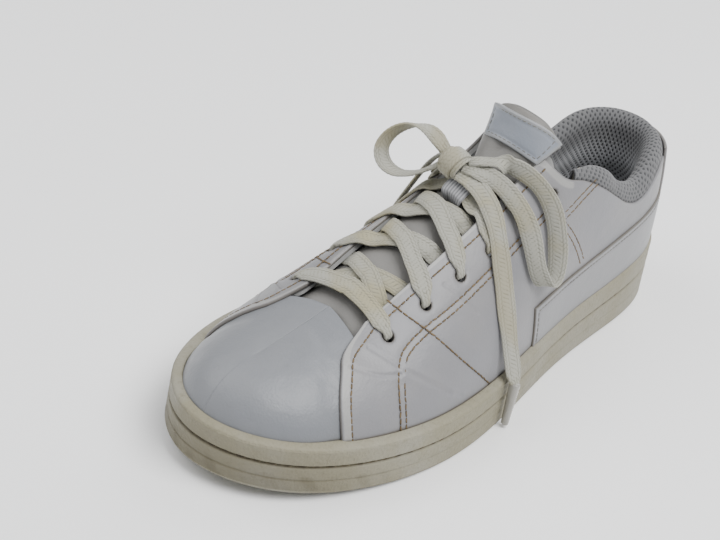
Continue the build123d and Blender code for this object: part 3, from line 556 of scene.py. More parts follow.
def upper_at_rim(turns):
    """Where the rubber meets the leather: on the quarters' face, and further forward on the vamp's."""
    _, s = outline(turns)
    z = rim_height(s) + spring(s) - 0.6
    face = LEATHER_TOP * (1 - smooth_step((s - 234.0) / 3.0))
    return skin(turns, girth_at_z(turns, z), face - 0.15)


def make_cupsole():
    turns = np.linspace(-PI, PI, 681)[:-1]
    rows, dirt_and_shade = [], []
    _, s_edge = outline(turns)
    spine_s = np.clip(s_edge, 38.0, 236.0)

    def ring(inset, z, soil_and_shade=0.0):
        x, s = outline(turns, np.asarray(inset))
        rows.append(place(x, s, z + spring(s)))
        dirt_and_shade.append(np.broadcast_to(soil_and_shade, turns.shape))

    def inner(share, inset, z, tread=False):
        x, s = outline(turns, inset)
        x, s = x * share, spine_s + (s - spine_s) * share
        lift = tread_depth(x, s) * smooth_step((1 - share) / 0.14) if tread else 0.0
        rows.append(place(x, s, z + spring(s) + lift))
        dirt_and_shade.append(np.full(turns.shape, 0.35 if tread else 0.2))

    for share in np.linspace(0, 0.985, 62):
        inner(share, 1.4, 0.0, True)
    for angle in np.linspace(0, PI / 2, 6):
        ring(1.4 - 1.4 * math.sin(angle), 1.4 * (1 - math.cos(angle)), 0.35)
    shares = np.linspace(0.93, 0.05, 74)
    for share in shares:
        depth = sum(d * np.exp(-(((share - at) * 22.0 / half) ** 2) ** 1.5) for at, half, d in SIDEWALL_LINES)
        height = rim_height(s_edge) * (1 - share)
        lean = WALL_LEAN * height / 25.0
        mottled = 0.14 * np.clip(wrinkle(rows[-1], 9.0, 5), 0, 1) * (share > 0.6)
        soil_and_shade = 0.7 * np.exp(-((share - 0.39) * 22 / 0.55) ** 2) + 0.15 * np.exp(-((share - 0.69) * 22 / 0.5) ** 2)
        # Lower toe wall darker towards the bottom: partly dirt, partly painted shade where the toe turns down away
        # from the light.
        toe = (0.24 + 0.40 * share) * smooth_step((s_edge - 195) / 65)
        ring(lean + depth + 0.04 * wrinkle(rows[-1], 2.2, 8), height, soil_and_shade + mottled + toe)
    join = upper_at_rim(turns)
    edge_x, edge_s = outline(turns, WALL_LEAN)
    outer_rim = place(edge_x, edge_s, rim_height(s_edge) + spring(s_edge))
    for share in np.linspace(0, 1, 14):
        rise = 1.5 * math.sin(PI * min(share * 1.25, 1.0) * 0.5) ** 0.8 - 1.1 * max(share - 0.8, 0) / 0.2
        point = outer_rim + (join - outer_rim) * (1 - math.cos(PI * share)) / 2
        point[..., 2] = rim_height(s_edge) + spring(s_edge) - 1.0 + rise
        rows.append(point)
        dirt_and_shade.append(np.full(turns.shape, 0.06 + 0.9 * smooth_step((share - 0.84) / 0.12)))
    for drop in (1.5, 3.0):
        rows.append(join - (0, 0, drop))
        dirt_and_shade.append(np.full(turns.shape, 0.9))
    ring(CUP_INSET, FLOOR)
    for share in (0.8, 0.5, 0.2, 0.0):
        inner(share, CUP_INSET, FLOOR)
    grid = np.stack(rows, axis=1)
    rows_n, columns = grid.shape[:2]
    piece = make_object("outsole", grid.reshape(-1, 3), grid_quads(rows_n, columns, wrap=True),
                        {"dirt_and_shade": np.stack(dirt_and_shade, axis=1)})
    return settle(piece, sole_rubber, "sole_rubber", "cupsole")


def make_sidewall_stitches():
    turns = np.linspace(-PI, PI, 900)
    _, s = outline(turns)
    z = rim_height(s) * (1 - 0.39)
    x, s = outline(turns, WALL_LEAN * z / 25.0 + 0.75)
    line = place(x, s, z + spring(s))
    x2, s2 = outline(turns, WALL_LEAN * z / 25.0 - 0.5)
    normals = unit(place(x2, s2, z + spring(s2)) - line)
    piece = stitches("sidewall_stitches", [(line, normals)], pitch=5.6, length=3.9, width=0.5, height=0.5, seed=4)
    return settle(piece, tread_thread, "sidewall_thread", "sidewall_thread")


# ---------------------------------------------------------------- upper
def sole_dirt(points):
    """Grime where the upper comes out of the sole."""
    s = LENGTH / 2 - points[..., 1]
    above = points[..., 2] - rim_height(s) - spring(s)
    return 0.75 * np.exp(-(np.maximum(above, 0) / 0.9) ** 2)


def make_vamp():
    half = np.linspace(turn_at(217.0), PI, 170)
    turns = np.concatenate([half, -half[::-1]])
    girths = np.linspace(0, 1, 130)
    turn, girth = np.meshgrid(turns, girths, indexing="ij")
    base = last_point(turn, girth)
    s = LENGTH / 2 - base[..., 1]
    puff_edge = 236.0 - 16.0 * smooth_step((girth - 0.3) / 0.7) + 3.0 * wrinkle(base, 60, 3)
    relief = 0.35 * smooth_step((s - puff_edge) / 5.0)
    relief += 0.16 * wrinkle(base, 34, 11) + 0.05 * wrinkle(base, 9, 12)
    relief *= smooth_step(girth * 6)
    crease_area = smooth_step((238 - s) / 10)
    relief -= 0.10 * crease_area * np.abs(wrinkle(base * (0.35, 1.6, 1), 9, 14))
    top = skin(turn, girth, relief)
    bottom = skin(turn, girth, np.full(turn.shape, -LEATHER))
    piece = shell("vamp_leather", top, bottom, values={"dirt_and_shade": sole_dirt(top)})
    return settle(piece, vamp_leather, "vamp_leather", "vamp")


STITCH_LINES = {
    "double": ((211.3, 0.11), (209.1, 0.30), (206, 0.408), (201.1, 0.479), (194.9, 0.503), (175, 0.505),
               (150, 0.505), (128, 0.507), (107.6, 0.505)),
    "cross": ((195, 0.742), (192.4, 0.643), (185, 0.474), (176, 0.313), (157.9, 0.096)),
    "ankle": ((107.6, 0.43), (96, 0.425), (85.7, 0.424)),
    "ankle_low": ((107.6, 0.43), (98, 0.30), (89.6, 0.191)),
    "heel_short": ((78.2, 0.104), (75.0, 0.085), (72.3, 0.07)),
}
CREASES = (((214, 0.60), (206, 0.46), (196, 0.33), (184, 0.20)), ((203, 0.40), (192, 0.27), (178, 0.16)),
           ((226, 0.55), (214, 0.44), (205, 0.40)), ((170, 0.60), (160, 0.40)))


def quarter_grid(side, rows=380, columns=130):
    k, q = np.meshgrid(ease_border(rows), ease_border(columns), indexing="ij")
    front = quarter_front(q)
    top_s = quarter_front(1.0) * (1 - k)
    turn = turn_at(front * (1 - k), side)
    return turn, q * edge_girth(turn_at(top_s, side))


def make_quarter(side, name):
    turn, girth = quarter_grid(side)
    base = last_point(turn, girth)
    normal = last_normal(turn, girth)
    edge = edge_distance(base, sides=False)
    top_edge = edge_distance(base, ends=False)
    from_heel = LENGTH / 2 - base[..., 1]
    heel = smooth_step(from_heel / 6.0)
    front = np.where(edge < top_edge, edge, top_edge)
    front = np.where(girth < 0.05, edge, front)
    front = np.where((from_heel < 60), top_edge, front)
    relief = 0.10 * wrinkle(base, 40, 21 + side) + 0.03 * wrinkle(base, 9, 24)
    for crease in CREASES:
        line, _ = trace(side, crease, 0.0, 4.0)
        distance = near(base, line)
        relief += 0.28 * np.exp(-(distance / 2.6) ** 2) - 0.42 * np.exp(-(distance / 0.8) ** 2)
    for key in ("double", "cross"):
        line, _ = trace(side, STITCH_LINES[key], 0.0, 6.0)
        relief -= 0.22 * np.exp(-(near(base, line) / 1.5) ** 2)
    relief *= smooth_step(girth * 8) * heel
    drop = rounded(np.minimum(front, 9), 0.7) * heel
    centres = [last_point(turn_at(s, side), girth_at_x(turn_at(s, side), EYELET_X)) for s in EYELETS]
    radius = EYELET_BORE / 2
    hole = np.min([np.linalg.norm(base - c, axis=-1) for c in centres], axis=0)
    relief -= 0.35 * np.exp(-((hole - radius) / 0.7) ** 2)
    top = base + normal * (LEATHER_TOP + relief - drop)[..., None]
    bottom = base + normal * GAP
    middle = (hole[1:, 1:] + hole[:-1, 1:] + hole[1:, :-1] + hole[:-1, :-1]) / 4
    keep = middle > radius
    touched = np.zeros(hole.shape, bool)
    for di in (0, 1):
        for dj in (0, 1):
            touched[di:hole.shape[0] - 1 + di, dj:hole.shape[1] - 1 + dj] |= ~keep
    for c in centres:
        away = base - c
        distance = np.linalg.norm(away, axis=-1)
        ring = touched & (distance < radius * 1.6) & (distance > 1e-6)
        shift = (away * (radius / np.maximum(distance, 1e-6) - 1)[..., None])[ring]
        top[ring] += shift
        bottom[ring] += shift
    light = (smooth_step((4.2 - front) / 0.5) * (from_heel > 100)) * smooth_step((front - 0.6) / 0.5)
    dirt_and_shade = np.maximum(sole_dirt(top), 0.55 * np.exp(-(front / 0.45) ** 2) * (from_heel > 60))
    dirt_and_shade = np.maximum(dirt_and_shade, 0.7 * np.exp(-((hole - radius) / 0.5) ** 2))
    piece = shell("quarter_leather_" + name, top, bottom, keep, {"dirt_and_shade": dirt_and_shade, "rim": light})
    return settle(piece, quarter_leather, "quarter_leather", "quarter_" + name)


def shifted(line, by):
    """The same line moved sideways over the surface, for the second row of a double seam."""
    points, normals = line
    tangent = unit(np.gradient(points, axis=0))
    return points + np.cross(normals, tangent) * by, normals


def make_quarter_stitches(side, name):
    face = LEATHER_TOP - 0.02
    q = np.linspace(0.04, 1.0, 70)
    along_front = turn_at(quarter_front(q), side)
    girth = q * edge_girth(turn_at(quarter_front(1.0), side))
    front_line = (skin(along_front, girth, np.full(70, face)), last_normal(along_front, girth))
    back = np.linspace(209.0, 112.0, 90)
    edge_turn = turn_at(back, side)
    throat_line = (skin(edge_turn, edge_girth(edge_turn), np.full(90, face)),
                   last_normal(edge_turn, edge_girth(edge_turn)))
    seam = (np.concatenate([front_line[0], throat_line[0][1:]]), np.concatenate([front_line[1], throat_line[1][1:]]))
    lines = [shifted(seam, -4.2 * side)]
    double = trace(side, STITCH_LINES["double"], face)
    lines += [double, shifted(double, -2.6 * side), trace(side, STITCH_LINES["cross"], face)]
    for key in ("ankle", "ankle_low", "heel_short"):
        line = trace(side, STITCH_LINES[key], face)
        lines += [line, shifted(line, -2.6 * side)]
    piece = stitches("quarter_stitches_" + name, lines, length=2.4, width=0.75, seed=30 + side)
    return settle(piece, brown_thread, "sidewall_thread")


def make_overlay(side, name):
    """Plain rear foxing with a straight upper edge and a square front corner."""
    s, q = np.meshgrid(126.0 - 111.0 * ease_border(240), ease_border(50), indexing="ij")
    turn = turn_at(s, side)
    low = girth_at_z(turn, rim_height(s) - 2.0)
    high = girth_at_z(turn, 38.5 + (126.0 - s) * 0.125)
    girth = low + (high - low) * q
    base = last_point(turn, girth)
    edge = np.minimum(edge_distance(base, sides=False), (edge_distance(base, ends=False) + 99 * (q < 0.5)))
    face = LEATHER_TOP + GAP + 0.95 - rounded(edge, 0.6) + 0.06 * wrinkle(base, 30, 41)
    face -= 0.2 * np.exp(-((edge - 2.4) / 0.9) ** 2)
    top = skin(turn, girth, face)
    bottom = skin(turn, girth, np.full(turn.shape, LEATHER_TOP - 0.3))
    dirt_and_shade = np.maximum(sole_dirt(top), 0.8 * np.exp(-(edge / 0.4) ** 2))
    piece = shell("overlay_leather_" + name, top, bottom, values={"dirt_and_shade": dirt_and_shade})
    return settle(piece, overlay_leather, "overlay_leather", "side_overlay_" + name)


def make_overlay_stitches():
    lines = []
    for side in (1, -1):
        s = np.linspace(123.4, 16.0, 160)
        turn = turn_at(s, side)
        girth = girth_at_z(turn, 36.1 + (126.0 - s) * 0.125)
        depth = np.full(s.shape, LEATHER_TOP + GAP + 0.86)
        lines.append((skin(turn, girth, depth), last_normal(turn, girth)))
        z = np.linspace(rim_height(123.4) + 1.0, 36.1, 30)
        turn = np.full(z.shape, turn_at(123.4, side))
        girth = girth_at_z(turn, z)
        lines.append((skin(turn, girth, depth[:30]), last_normal(turn, girth)))
    piece = stitches("overlay_stitches", lines, pitch=2.2, length=1.7, width=0.4, height=0.32, seed=43)
    return settle(piece, pale_thread, "sidewall_thread")


def make_heel_panel():
    turns = np.linspace(turn_at(14.3), turn_at(14.3, -1), 120)
    turn, q = np.meshgrid(turns, ease_border(110), indexing="ij")
    s = plain_s(turn)
    low = girth_at_z(turn, rim_height(s) - 2.0)
    girth = low + (girth_at_z(turn, collar_edge(s) + 4.0) - low) * q
    base = last_point(turn, girth)
    edge = np.minimum(edge_distance(base, sides=False), edge_distance(base, ends=False) + 99 * (q < 0.5))
    face = LEATHER_TOP + GAP + 1.15 - rounded(edge, 0.7) + 0.05 * wrinkle(base, 20, 51)
    top = skin(turn, girth, face)
    bottom = skin(turn, girth, np.full(turn.shape, LEATHER_TOP - 0.4))
    dirt_and_shade = np.maximum(sole_dirt(top), 0.5 * np.exp(-(edge / 0.4) ** 2))
    piece = shell("heel_leather", top, bottom, values={"dirt_and_shade": dirt_and_shade, "rim": 0 * dirt_and_shade})
    return settle(piece, quarter_leather, "quarter_leather", "heel_panel")


# ---------------------------------------------------------------- collar
COLLAR_FRONT, COLLAR_FULL = 97.5, 78.0


def through(points, count):
    """Smooth line through points (n, k, 3), evaluated at count places on each."""
    chord = np.cumsum(np.linalg.norm(np.diff(points, axis=1), axis=-1).mean(axis=0))
    knots = np.concatenate([[0], chord])
    at = np.linspace(0, knots[-1], count)
    result = np.zeros((len(points), count, 3))
    for i, row in enumerate(points):
        for k in range(3):
            result[i, :, k] = spline(list(zip(knots, row[:, k])))(at)
    return result


def collar_lines(turns, count):
    s = plain_s(np.abs(turns))
    full = smooth_step((COLLAR_FRONT - s) / (COLLAR_FRONT - COLLAR_FULL))
    thick, roll = 3.2 + 5.6 * full, 4.2 + 4.0 * full
    profile = ((-0.1 + 0 * s, -4.5 + 0 * s), (0.25 + 0 * s, 0.9 + 0 * s), (0.1 - 0.1 * thick, 0.62 * roll),
               (-0.42 * thick, roll), (-0.86 * thick, 0.72 * roll), (-1.02 * thick, -0.1 * roll),
               (-0.98 * thick, -9.0 + 0 * s))
    edge = edge_girth(turns)
    top = last_point(turns, edge)
    out = last_normal(turns, edge)
    out[:, 2] = 0
    out = unit(out)
    points = [top + out * d[:, None] + np.stack([0 * h, 0 * h, h], -1) for d, h in profile]
    base = base_height(s) + spring(s)
    middle_z = 0.5 * (points[-1][:, 2] + base)
    for z, depth in ((middle_z + 4.0, -4.48), (base + 11.0, -3.2), (base + 0.4, -2.9)):
        points.append(skin(turns, girth_at_z(turns, z), np.full(turns.shape, depth)))
    return through(np.stack(points, axis=1), count)


def pierce(grid, pitch=2.7, radius=0.62):
    """Staggered small oval holes over a grid: 1 in a hole, 0 between."""
    u = np.cumsum(np.linalg.norm(np.diff(grid, axis=0, prepend=grid[:1]), axis=-1), axis=0)
    v = np.cumsum(np.linalg.norm(np.diff(grid, axis=1, prepend=grid[:, :1]), axis=-1), axis=1)
    u = np.broadcast_to(u.mean(axis=1, keepdims=True), u.shape)
    row = np.floor(v / (pitch * 0.72))
    du = (u / pitch + 0.5 * (row % 2)) % 1.0 - 0.5
    dv = (v / (pitch * 0.72)) % 1.0 - 0.5
    distance = np.hypot(du * pitch / 0.8, dv * pitch * 0.72 / 1.25)
    return smooth_step((radius + 0.22 - distance) / 0.44)


def make_collar():
    turns = np.linspace(turn_at(COLLAR_FRONT), turn_at(COLLAR_FRONT, -1), 520)
    face = collar_lines(turns, 190)
    du, dv = np.gradient(face, axis=0), np.gradient(face, axis=1)
    normal = unit(np.cross(du, dv))
    centre = np.array([0.0, 90.0, 60.0])
    outward = np.sign(np.sum(normal * (centre - face), axis=-1).mean())
    normal = normal * outward
    # The holes are painted near black as shade and dented only a little.
    hole = pierce(face)
    puff = 0.35 * wrinkle(face, 24, 61) * smooth_step(edge_distance(face) / 6)
    front = face + normal * (puff - 0.45 * hole)[..., None]
    back = face - normal * 0.85
    drop = face[..., 2].max(axis=1, keepdims=True) - face[..., 2]
    # The mesh is painted lighter further down inside the collar, as painted light against its shade.
    piece = shell("collar_mesh", front, back, values={"hole": hole, "painted_light_inside": smooth_step((drop - 7) / 20)})
    return settle(piece, grey_mesh, "collar_mesh", "collar_lining")


# ---------------------------------------------------------------- tongue
TONGUE_X, TONGUE_HALF = 2.5, 23.0
FLAP_BASE_HALF, FLAP_MIDDLE_HALF, FLAP_TOP_HALF = 12.0, 15.8, 18.6


def flap_point(a, h):
    base, normal = instep(np.full(a.shape, HINGE_S - 0.6), TONGUE_X + FLAP_BASE_HALF * a)
    base = base - 3.8 * normal
    middle = place(TONGUE_X + FLAP_MIDDLE_HALF * a, 119.5 - 6.0 * a * a, 96.5 - 5.0 * a * a)
    top = place(TONGUE_X + FLAP_TOP_HALF * a, 116.0 - 10.5 * a * a, 108.0 - 5.0 * a * a - 6.5 * a ** 6)
    h = h[..., None]
    return base * (1 - h) * (1 - 2 * h) + middle * 4 * h * (1 - h) + top * h * (2 * h - 1)


def tongue_face(across, root_rows=70, flap_rows=60):
    """Front face of the whole tongue as a grid, from the vamp to its free top."""
    s, a = np.meshgrid(np.linspace(216.0, HINGE_S + 2.0, root_rows), across, indexing="ij")
    base, normal = instep(s, TONGUE_X + (TONGUE_HALF - 10.5 * smooth_step((152 - s) / 22)) * a)
    root = base - 3.8 * normal
    h, a = np.meshgrid(np.linspace(0.06, 1.0, flap_rows), across, indexing="ij")
    return np.concatenate([root, flap_point(a, h)])


def grid_normal(grid, towards):
    normal = unit(np.cross(np.gradient(grid, axis=0), np.gradient(grid, axis=1)))
    return normal * np.sign(np.sum(normal.mean(axis=(0, 1)) * np.asarray(towards)))


def make_tongue():
    across = np.sin(np.linspace(-PI / 2, PI / 2, 90))
    face = tongue_face(across)
    normal = grid_normal(face, (0, -1, 1))
    edge = edge_distance(face)
    pad = 1.2 * np.exp(-((edge - 9) / 7) ** 2) + 0.3 * wrinkle(face, 16, 71)
    front = face + normal * (pad * smooth_step(edge / 5) - 0.3 - rounded(np.minimum(edge, 3.6), 3.0))[..., None]
    back = face - normal * (4.6 - 0.8 * smooth_step(edge / 4))[..., None]
    leather = shell("tongue_leather_face", front, back, values={"dirt_and_shade": 0.5 * np.exp(-(edge / 1.2) ** 2)})
    settle(leather, tongue_leather, "tongue_leather", "tongue_root_leather", "tongue_flap_leather",
           "tongue_root_foam", "tongue_flap_foam", body=None)
    front = face - normal * (4.65 - 0.8 * smooth_step(edge / 4))[..., None]
    # The holes are painted near black as shade and dented only a little.
    hole = pierce(face)
    back = face - normal * (5.3 - 0.3 * hole)[..., None]
    lining = shell("tongue_mesh_back", front, back, values={"hole": hole})
    settle(lining, grey_mesh, "collar_mesh", "tongue_root_lining", "tongue_flap_lining", body=None)
    for piece in (leather, lining):
        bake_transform(piece)


def make_label():
    h, a = np.meshgrid(0.42 + 0.55 * ease_border(60), np.linspace(-0.66, 0.93, 80), indexing="ij")
    face = flap_point(a, h)
    normal = grid_normal(face, (0, -1, 1))
    edge = edge_distance(face)
    lift = 2.0 + 0.12 * wrinkle(face, 12, 81) - rounded(edge, 0.6) - 0.18 * np.exp(-((edge - 2.3) / 0.8) ** 2)
    rim = smooth_step((1.6 - edge) / 0.5)
    piece = shell("tongue_label_leather", face + normal * lift[..., None], face + normal * 0.6, values={"rim": rim})
    settle(piece, label_leather, "label_leather", "tongue_label", body=TONGUE)
    lines = []
    low, high, left, right = 0.48, 0.91, -0.56, 0.83
    ways = (((left, low), (left, high)), ((left, high), (right, high)), ((right, high), (right, low)),
            ((right, low), (left, low)))
    for (a0, h0), (a1, h1) in ways:
        t = np.linspace(0, 1, 50)
        aa, hh = a0 + (a1 - a0) * t, h0 + (h1 - h0) * t
        points = flap_point(aa, hh)
        across_way = flap_point(aa + 0.01, hh) - points
        up = flap_point(aa, hh + 0.01) - points
        normals = unit(np.cross(across_way, up))
        normals *= np.sign(normals.mean(axis=0) @ np.array([0, -1, 1.0]))
        lines.append((points + normals * 1.85, normals))
    seam = stitches("label_stitches", lines, pitch=2.2, length=1.6, width=0.4, height=0.3, seed=82)
    settle(seam, pale_thread, "sidewall_thread", body=TONGUE)


# ---------------------------------------------------------------- lace
LACE_WIDTH, LACE_THICK = 7.6, 1.5
OVER, UNDER, HIGH, LOW = 2.25, -2.8, 0.4, -1.25
HOLE_WIDTH, HOLE_THICK = 3.5, 2.0
KNOT_X = (-10.7, 1.3)


def smooth_path(points, per_piece):
    """Quadratic B-spline that starts at the first point, ends at the last and is drawn towards the rest."""
    points = np.array(points, float)
    path = []
    pieces = len(points) - 2
    for i in range(pieces):
        start = points[0] if i == 0 else (points[i] + points[i + 1]) / 2
        end = points[-1] if i == pieces - 1 else (points[i + 1] + points[i + 2]) / 2
        u = np.linspace(0, 1, per_piece + 1)[(1 if i else 0):, None]
        path.append((1 - u) ** 2 * start + 2 * u * (1 - u) * points[i + 1] + u ** 2 * end)
    return np.concatenate(path)


def out_of_hole(side, s, depth, ahead_s):
    up = 1 if depth > 0 else -1
    turn_depth = depth - 0.65 * up
    x = EYELET_X
    slope = (ahead_s - s) / 10.2
    return [(side * x, s, -0.15 + 0.55 * (turn_depth + 0.15)),
            (side * (x - 0.3), s + 0.3 * slope, turn_depth), (side * (x - 1.4), s + 1.4 * slope, depth),
            (side * (x - 5.0), s + 5.0 * slope, depth), (side * (x - 10.2), s + 10.2 * slope, depth)]


def crossing(side, index, middle, depths):
    s0, s1 = EYELETS[index], EYELETS[index + 1]
    shift = (s1 - s0) * 10.2 / (2 * EYELET_X)
    start = out_of_hole(side, s0, depths[0], s0 + shift)
    end = out_of_hole(-side, s1, UNDER, s1 - shift)
    return start + [(side * x, s, depths[1]) for x, s in middle] + end[::-1]


def straight(index):
    s0, s1 = EYELETS[index], EYELETS[index + 1]
    return [(x, (s0 + s1) / 2 + (s0 - s1) / 2 * x / EYELET_X) for x in (10.0, 5.0, 0.001, -5.0, -10.8)]


KEPT_OUTER = ((11.0, 142.9), (6.0, 141.8), (0.001, 140.3), (-4.5, 137.6), (-10.4, 132.6))
KEPT_INNER = ((10.8, 140.6), (5.0, 140.0), (0.001, 139.8), (-7.0, 138.8), (-11.0, 135.5))


def lace_stations():
    """The whole lace from the knot down to the toe end and back up to the knot."""
    def hole(side, index):
        return [(side * EYELET_X, EYELETS[index], -0.15)]

    def to_knot(side, knot_x):
        rise = [(side * (knot_x + 6.5), 132.0, 2.5), (side * (knot_x + 3.0), 134.5, 2.9),
                (side * knot_x, 136.5, 3.3)]
        return out_of_hole(side, EYELETS[4], OVER, EYELETS[4] + 2.0) + rise

    bar_ends = [out_of_hole(side, EYELETS[0], OVER, EYELETS[0]) for side in (1, -1)]
    bar = [(x, EYELETS[0], depth) for x, depth in ((8.0, 1.6), (0.001, 1.2), (-8.0, 1.6))]
    chain = to_knot(1, KNOT_X[1] - 0.8)[::-1] + hole(1, 4)
    chain += crossing(-1, 3, KEPT_INNER, (OVER, LOW))[::-1] + hole(-1, 3)
    chain += crossing(1, 2, straight(2), (OVER, HIGH))[::-1] + hole(1, 2)
    chain += crossing(-1, 1, straight(1), (OVER, LOW))[::-1] + hole(-1, 1)
    chain += crossing(1, 0, straight(0), (UNDER, HIGH - 1.4))[::-1] + hole(1, 0)
    chain += bar_ends[0] + bar + bar_ends[1][::-1] + hole(-1, 0)
    chain += crossing(-1, 0, straight(0), (UNDER, LOW - 1.5)) + hole(1, 1)
    chain += crossing(1, 1, straight(1), (OVER, HIGH)) + hole(-1, 2)
    chain += crossing(-1, 2, straight(2), (OVER, LOW)) + hole(1, 3)
    chain += crossing(1, 3, KEPT_OUTER, (OVER, HIGH)) + hole(-1, 4)
    return chain + to_knot(-1, -KNOT_X[0] - 0.8)


def resample(points, step, *others):
    run = np.concatenate([[0], np.cumsum(np.linalg.norm(np.diff(points, axis=0), axis=1))])
    at = np.linspace(0, run[-1], max(int(run[-1] / step), 4))
    results = []
    for data in (points, *others):
        data = np.asarray(data, float)
        flat = data.reshape(len(data), -1)
        new = np.stack([np.interp(at, run, flat[:, k]) for k in range(flat.shape[1])], -1)
        results.append(new.reshape((len(at),) + data.shape[1:]))
    return results


def braid(u, v):
    """Relief of a flat braid, 0 to 1: columns of strands that lean left and right in turn."""
    column = u / 1.27
    lean = np.where(np.floor(column) % 2 > 0, 1.0, -1.0)
    inside = column % 1.0 - 0.5
    strand = (v / 1.75 + lean * inside * 0.75 + 0.25 * lean) % 1.0 - 0.5
    return np.cos(PI * inside) ** 0.5 * np.cos(PI * strand) ** 0.5


def ribbon(name, line, side, face, width, thick, stain=None, step=0.42):
    """Braided flat lace along a line; side and face are unit vectors across it and out of it."""
    line, side, face, width, thick = resample(line, step, side, face, width, thick)
    run = np.concatenate([[0], np.cumsum(np.linalg.norm(np.diff(line, axis=0), axis=1))])
    around = 44
    angle = np.linspace(0, 2 * PI, around, endpoint=False)
    cu = np.sign(np.cos(angle)) * np.abs(np.cos(angle)) ** 0.75
    cv = np.sign(np.sin(angle)) * np.abs(np.sin(angle)) ** 0.55
    u = cu[None, :] * width[:, None] / 2
    relief = braid(u + 40.0, run[:, None] + 0.9 * (cv[None, :] < 0))
    waist = 1.0 + 0.05 * np.sin(run / 7.0)[:, None] + 0.03 * np.sin(run / 3.1 + 1)[:, None]
    flat = np.abs(cv)[None, :] ** 0.4
    v = cv[None, :] * thick[:, None] / 2 + np.sign(cv)[None, :] * flat * (relief - 0.75) * 0.30
    u = u * waist * (1 + 0.05 * (relief - 0.7) * (1 - flat))
    points = line[:, None] + side[:, None] * u[..., None] + face[:, None] * v[..., None]
    count = len(line)
    faces = [f for f in grid_quads(count, around)]
    last = np.arange(count - 1) * around + around - 1
    faces += list(np.stack([last, last + around, last + 1, last - around + 1], -1))
    faces += [tuple(range(around)), tuple(range((count - 1) * around, count * around))[::-1]]
    marks = np.zeros(points.shape[:2]) if stain is None else stain(points)
    # The gaps between the strands are painted darker as shade.
    values = {"shaded_gap": (1 - relief) * np.ones(points.shape[:2]), "stain": marks}
    return make_object(name, points.reshape(-1, 3), faces, values)


def lace_stain(points):
    return 0.5 * smooth_step((wrinkle(points, 30, 91) - 0.1) / 0.8)


def make_laced_rows():
    path = smooth_path(lace_stations(), 6)
    base, normal = instep(path[:, 1], path[:, 0])
    line = base + normal * path[:, 2:]
    spread = smooth_step((EYELET_X - np.abs(path[:, 0]) - 0.8) / 4.5)
    tangent = unit(np.gradient(line, axis=0))
    heelwards = np.array([0.0, 1.0, 0.0]) - normal * normal[:, 1:2]
    side = unit(heelwards - tangent * np.sum(heelwards * tangent, axis=1, keepdims=True))
    face = unit(np.cross(side, tangent))
    width = HOLE_WIDTH + (LACE_WIDTH - HOLE_WIDTH) * spread
    thick = HOLE_THICK + (LACE_THICK - HOLE_THICK) * spread
    piece = ribbon("lace_rows", line, side, face, width, thick, lace_stain)
    return settle(piece, lace_cotton, "lace_cotton", "lace_laced")


# Routes of the free lace, points (x, y, z) in the part's frame, each from the knot.
LOOP_LATERAL = ((-2.6, -2.0, 90.2), (3.5, 2.2, 92.4), (9.6, 7.6, 92.4), (16.0, 12.8, 89.4), (22.0, 17.0, 84.2),
                (27.2, 19.6, 76.8), (31.4, 20.0, 67.6), (35.0, 19.0, 58.6), (38.0, 15.6, 51.4),
                (37.9, 9.8, 50.2), (35.2, 6.9, 55.6), (32.4, 5.8, 62.4), (28.9, 5.6, 69.6), (24.4, 4.9, 76.6),
                (18.5, 3.4, 82.4), (11.8, 0.8, 87.2), (4.8, -2.4, 89.4), (-2.6, -4.9, 88.4))
END_LATERAL = ((-2.6, -7.8, 86.2), (4.2, -6.4, 86.2), (10.8, -5.6, 82.6), (16.6, -6.0, 77.6),
               (22.4, -7.6, 70.6), (29.6, -9.9, 58.9), (38.6, -12.0, 41.4), (42.8, -12.8, 32.6),
               (47.0, -14.0, 26.0), (50.2, -15.4, 20.6))
LOOP_MEDIAL = ((-12.2, -4.2, 90.4), (-17.8, -4.2, 94.4), (-24.4, -5.6, 96.8), (-30.9, -8.4, 95.0),
               (-35.4, -12.0, 90.2), (-36.4, -15.4, 84.2), (-32.6, -16.6, 79.2), (-26.6, -15.2, 77.2),
               (-21.0, -12.0, 78.6), (-16.4, -9.2, 82.0), (-12.2, -7.4, 86.2))
END_MEDIAL = ((-12.2, -0.6, 89.6), (-17.6, 0.4, 86.4), (-22.2, 0.8, 80.6), (-25.7, 0.4, 73.6),
              (-31.4, -1.8, 59.2), (-36.6, -4.7, 41.0), (-39.4, -6.4, 32.0), (-42.2, -7.4, 25.6),
              (-44.4, -8.0, 20.6))


def route_line(route):
    """Points read from the smooth curve that a route's points control."""
    data = bpy.data.curves.new("route", "CURVE")
    data.dimensions = "3D"
    data.resolution_u = 24
    curve = data.splines.new("NURBS")
    curve.points.add(len(route) - 1)
    for point, place_mm in zip(curve.points, route):
        point.co = (*(c / 1000 for c in place_mm), 1)
    curve.order_u = 3
    curve.use_endpoint_u = True
    holder = bpy.data.objects.new("route", data)
    bpy.context.scene.collection.objects.link(holder)
    bpy.context.view_layer.update()
    mesh = bpy.data.meshes.new_from_object(holder)
    points = np.array([v.co for v in mesh.vertices]) * 1000
    bpy.data.objects.remove(holder)
    bpy.data.curves.remove(data)
    bpy.data.meshes.remove(mesh)
    return points


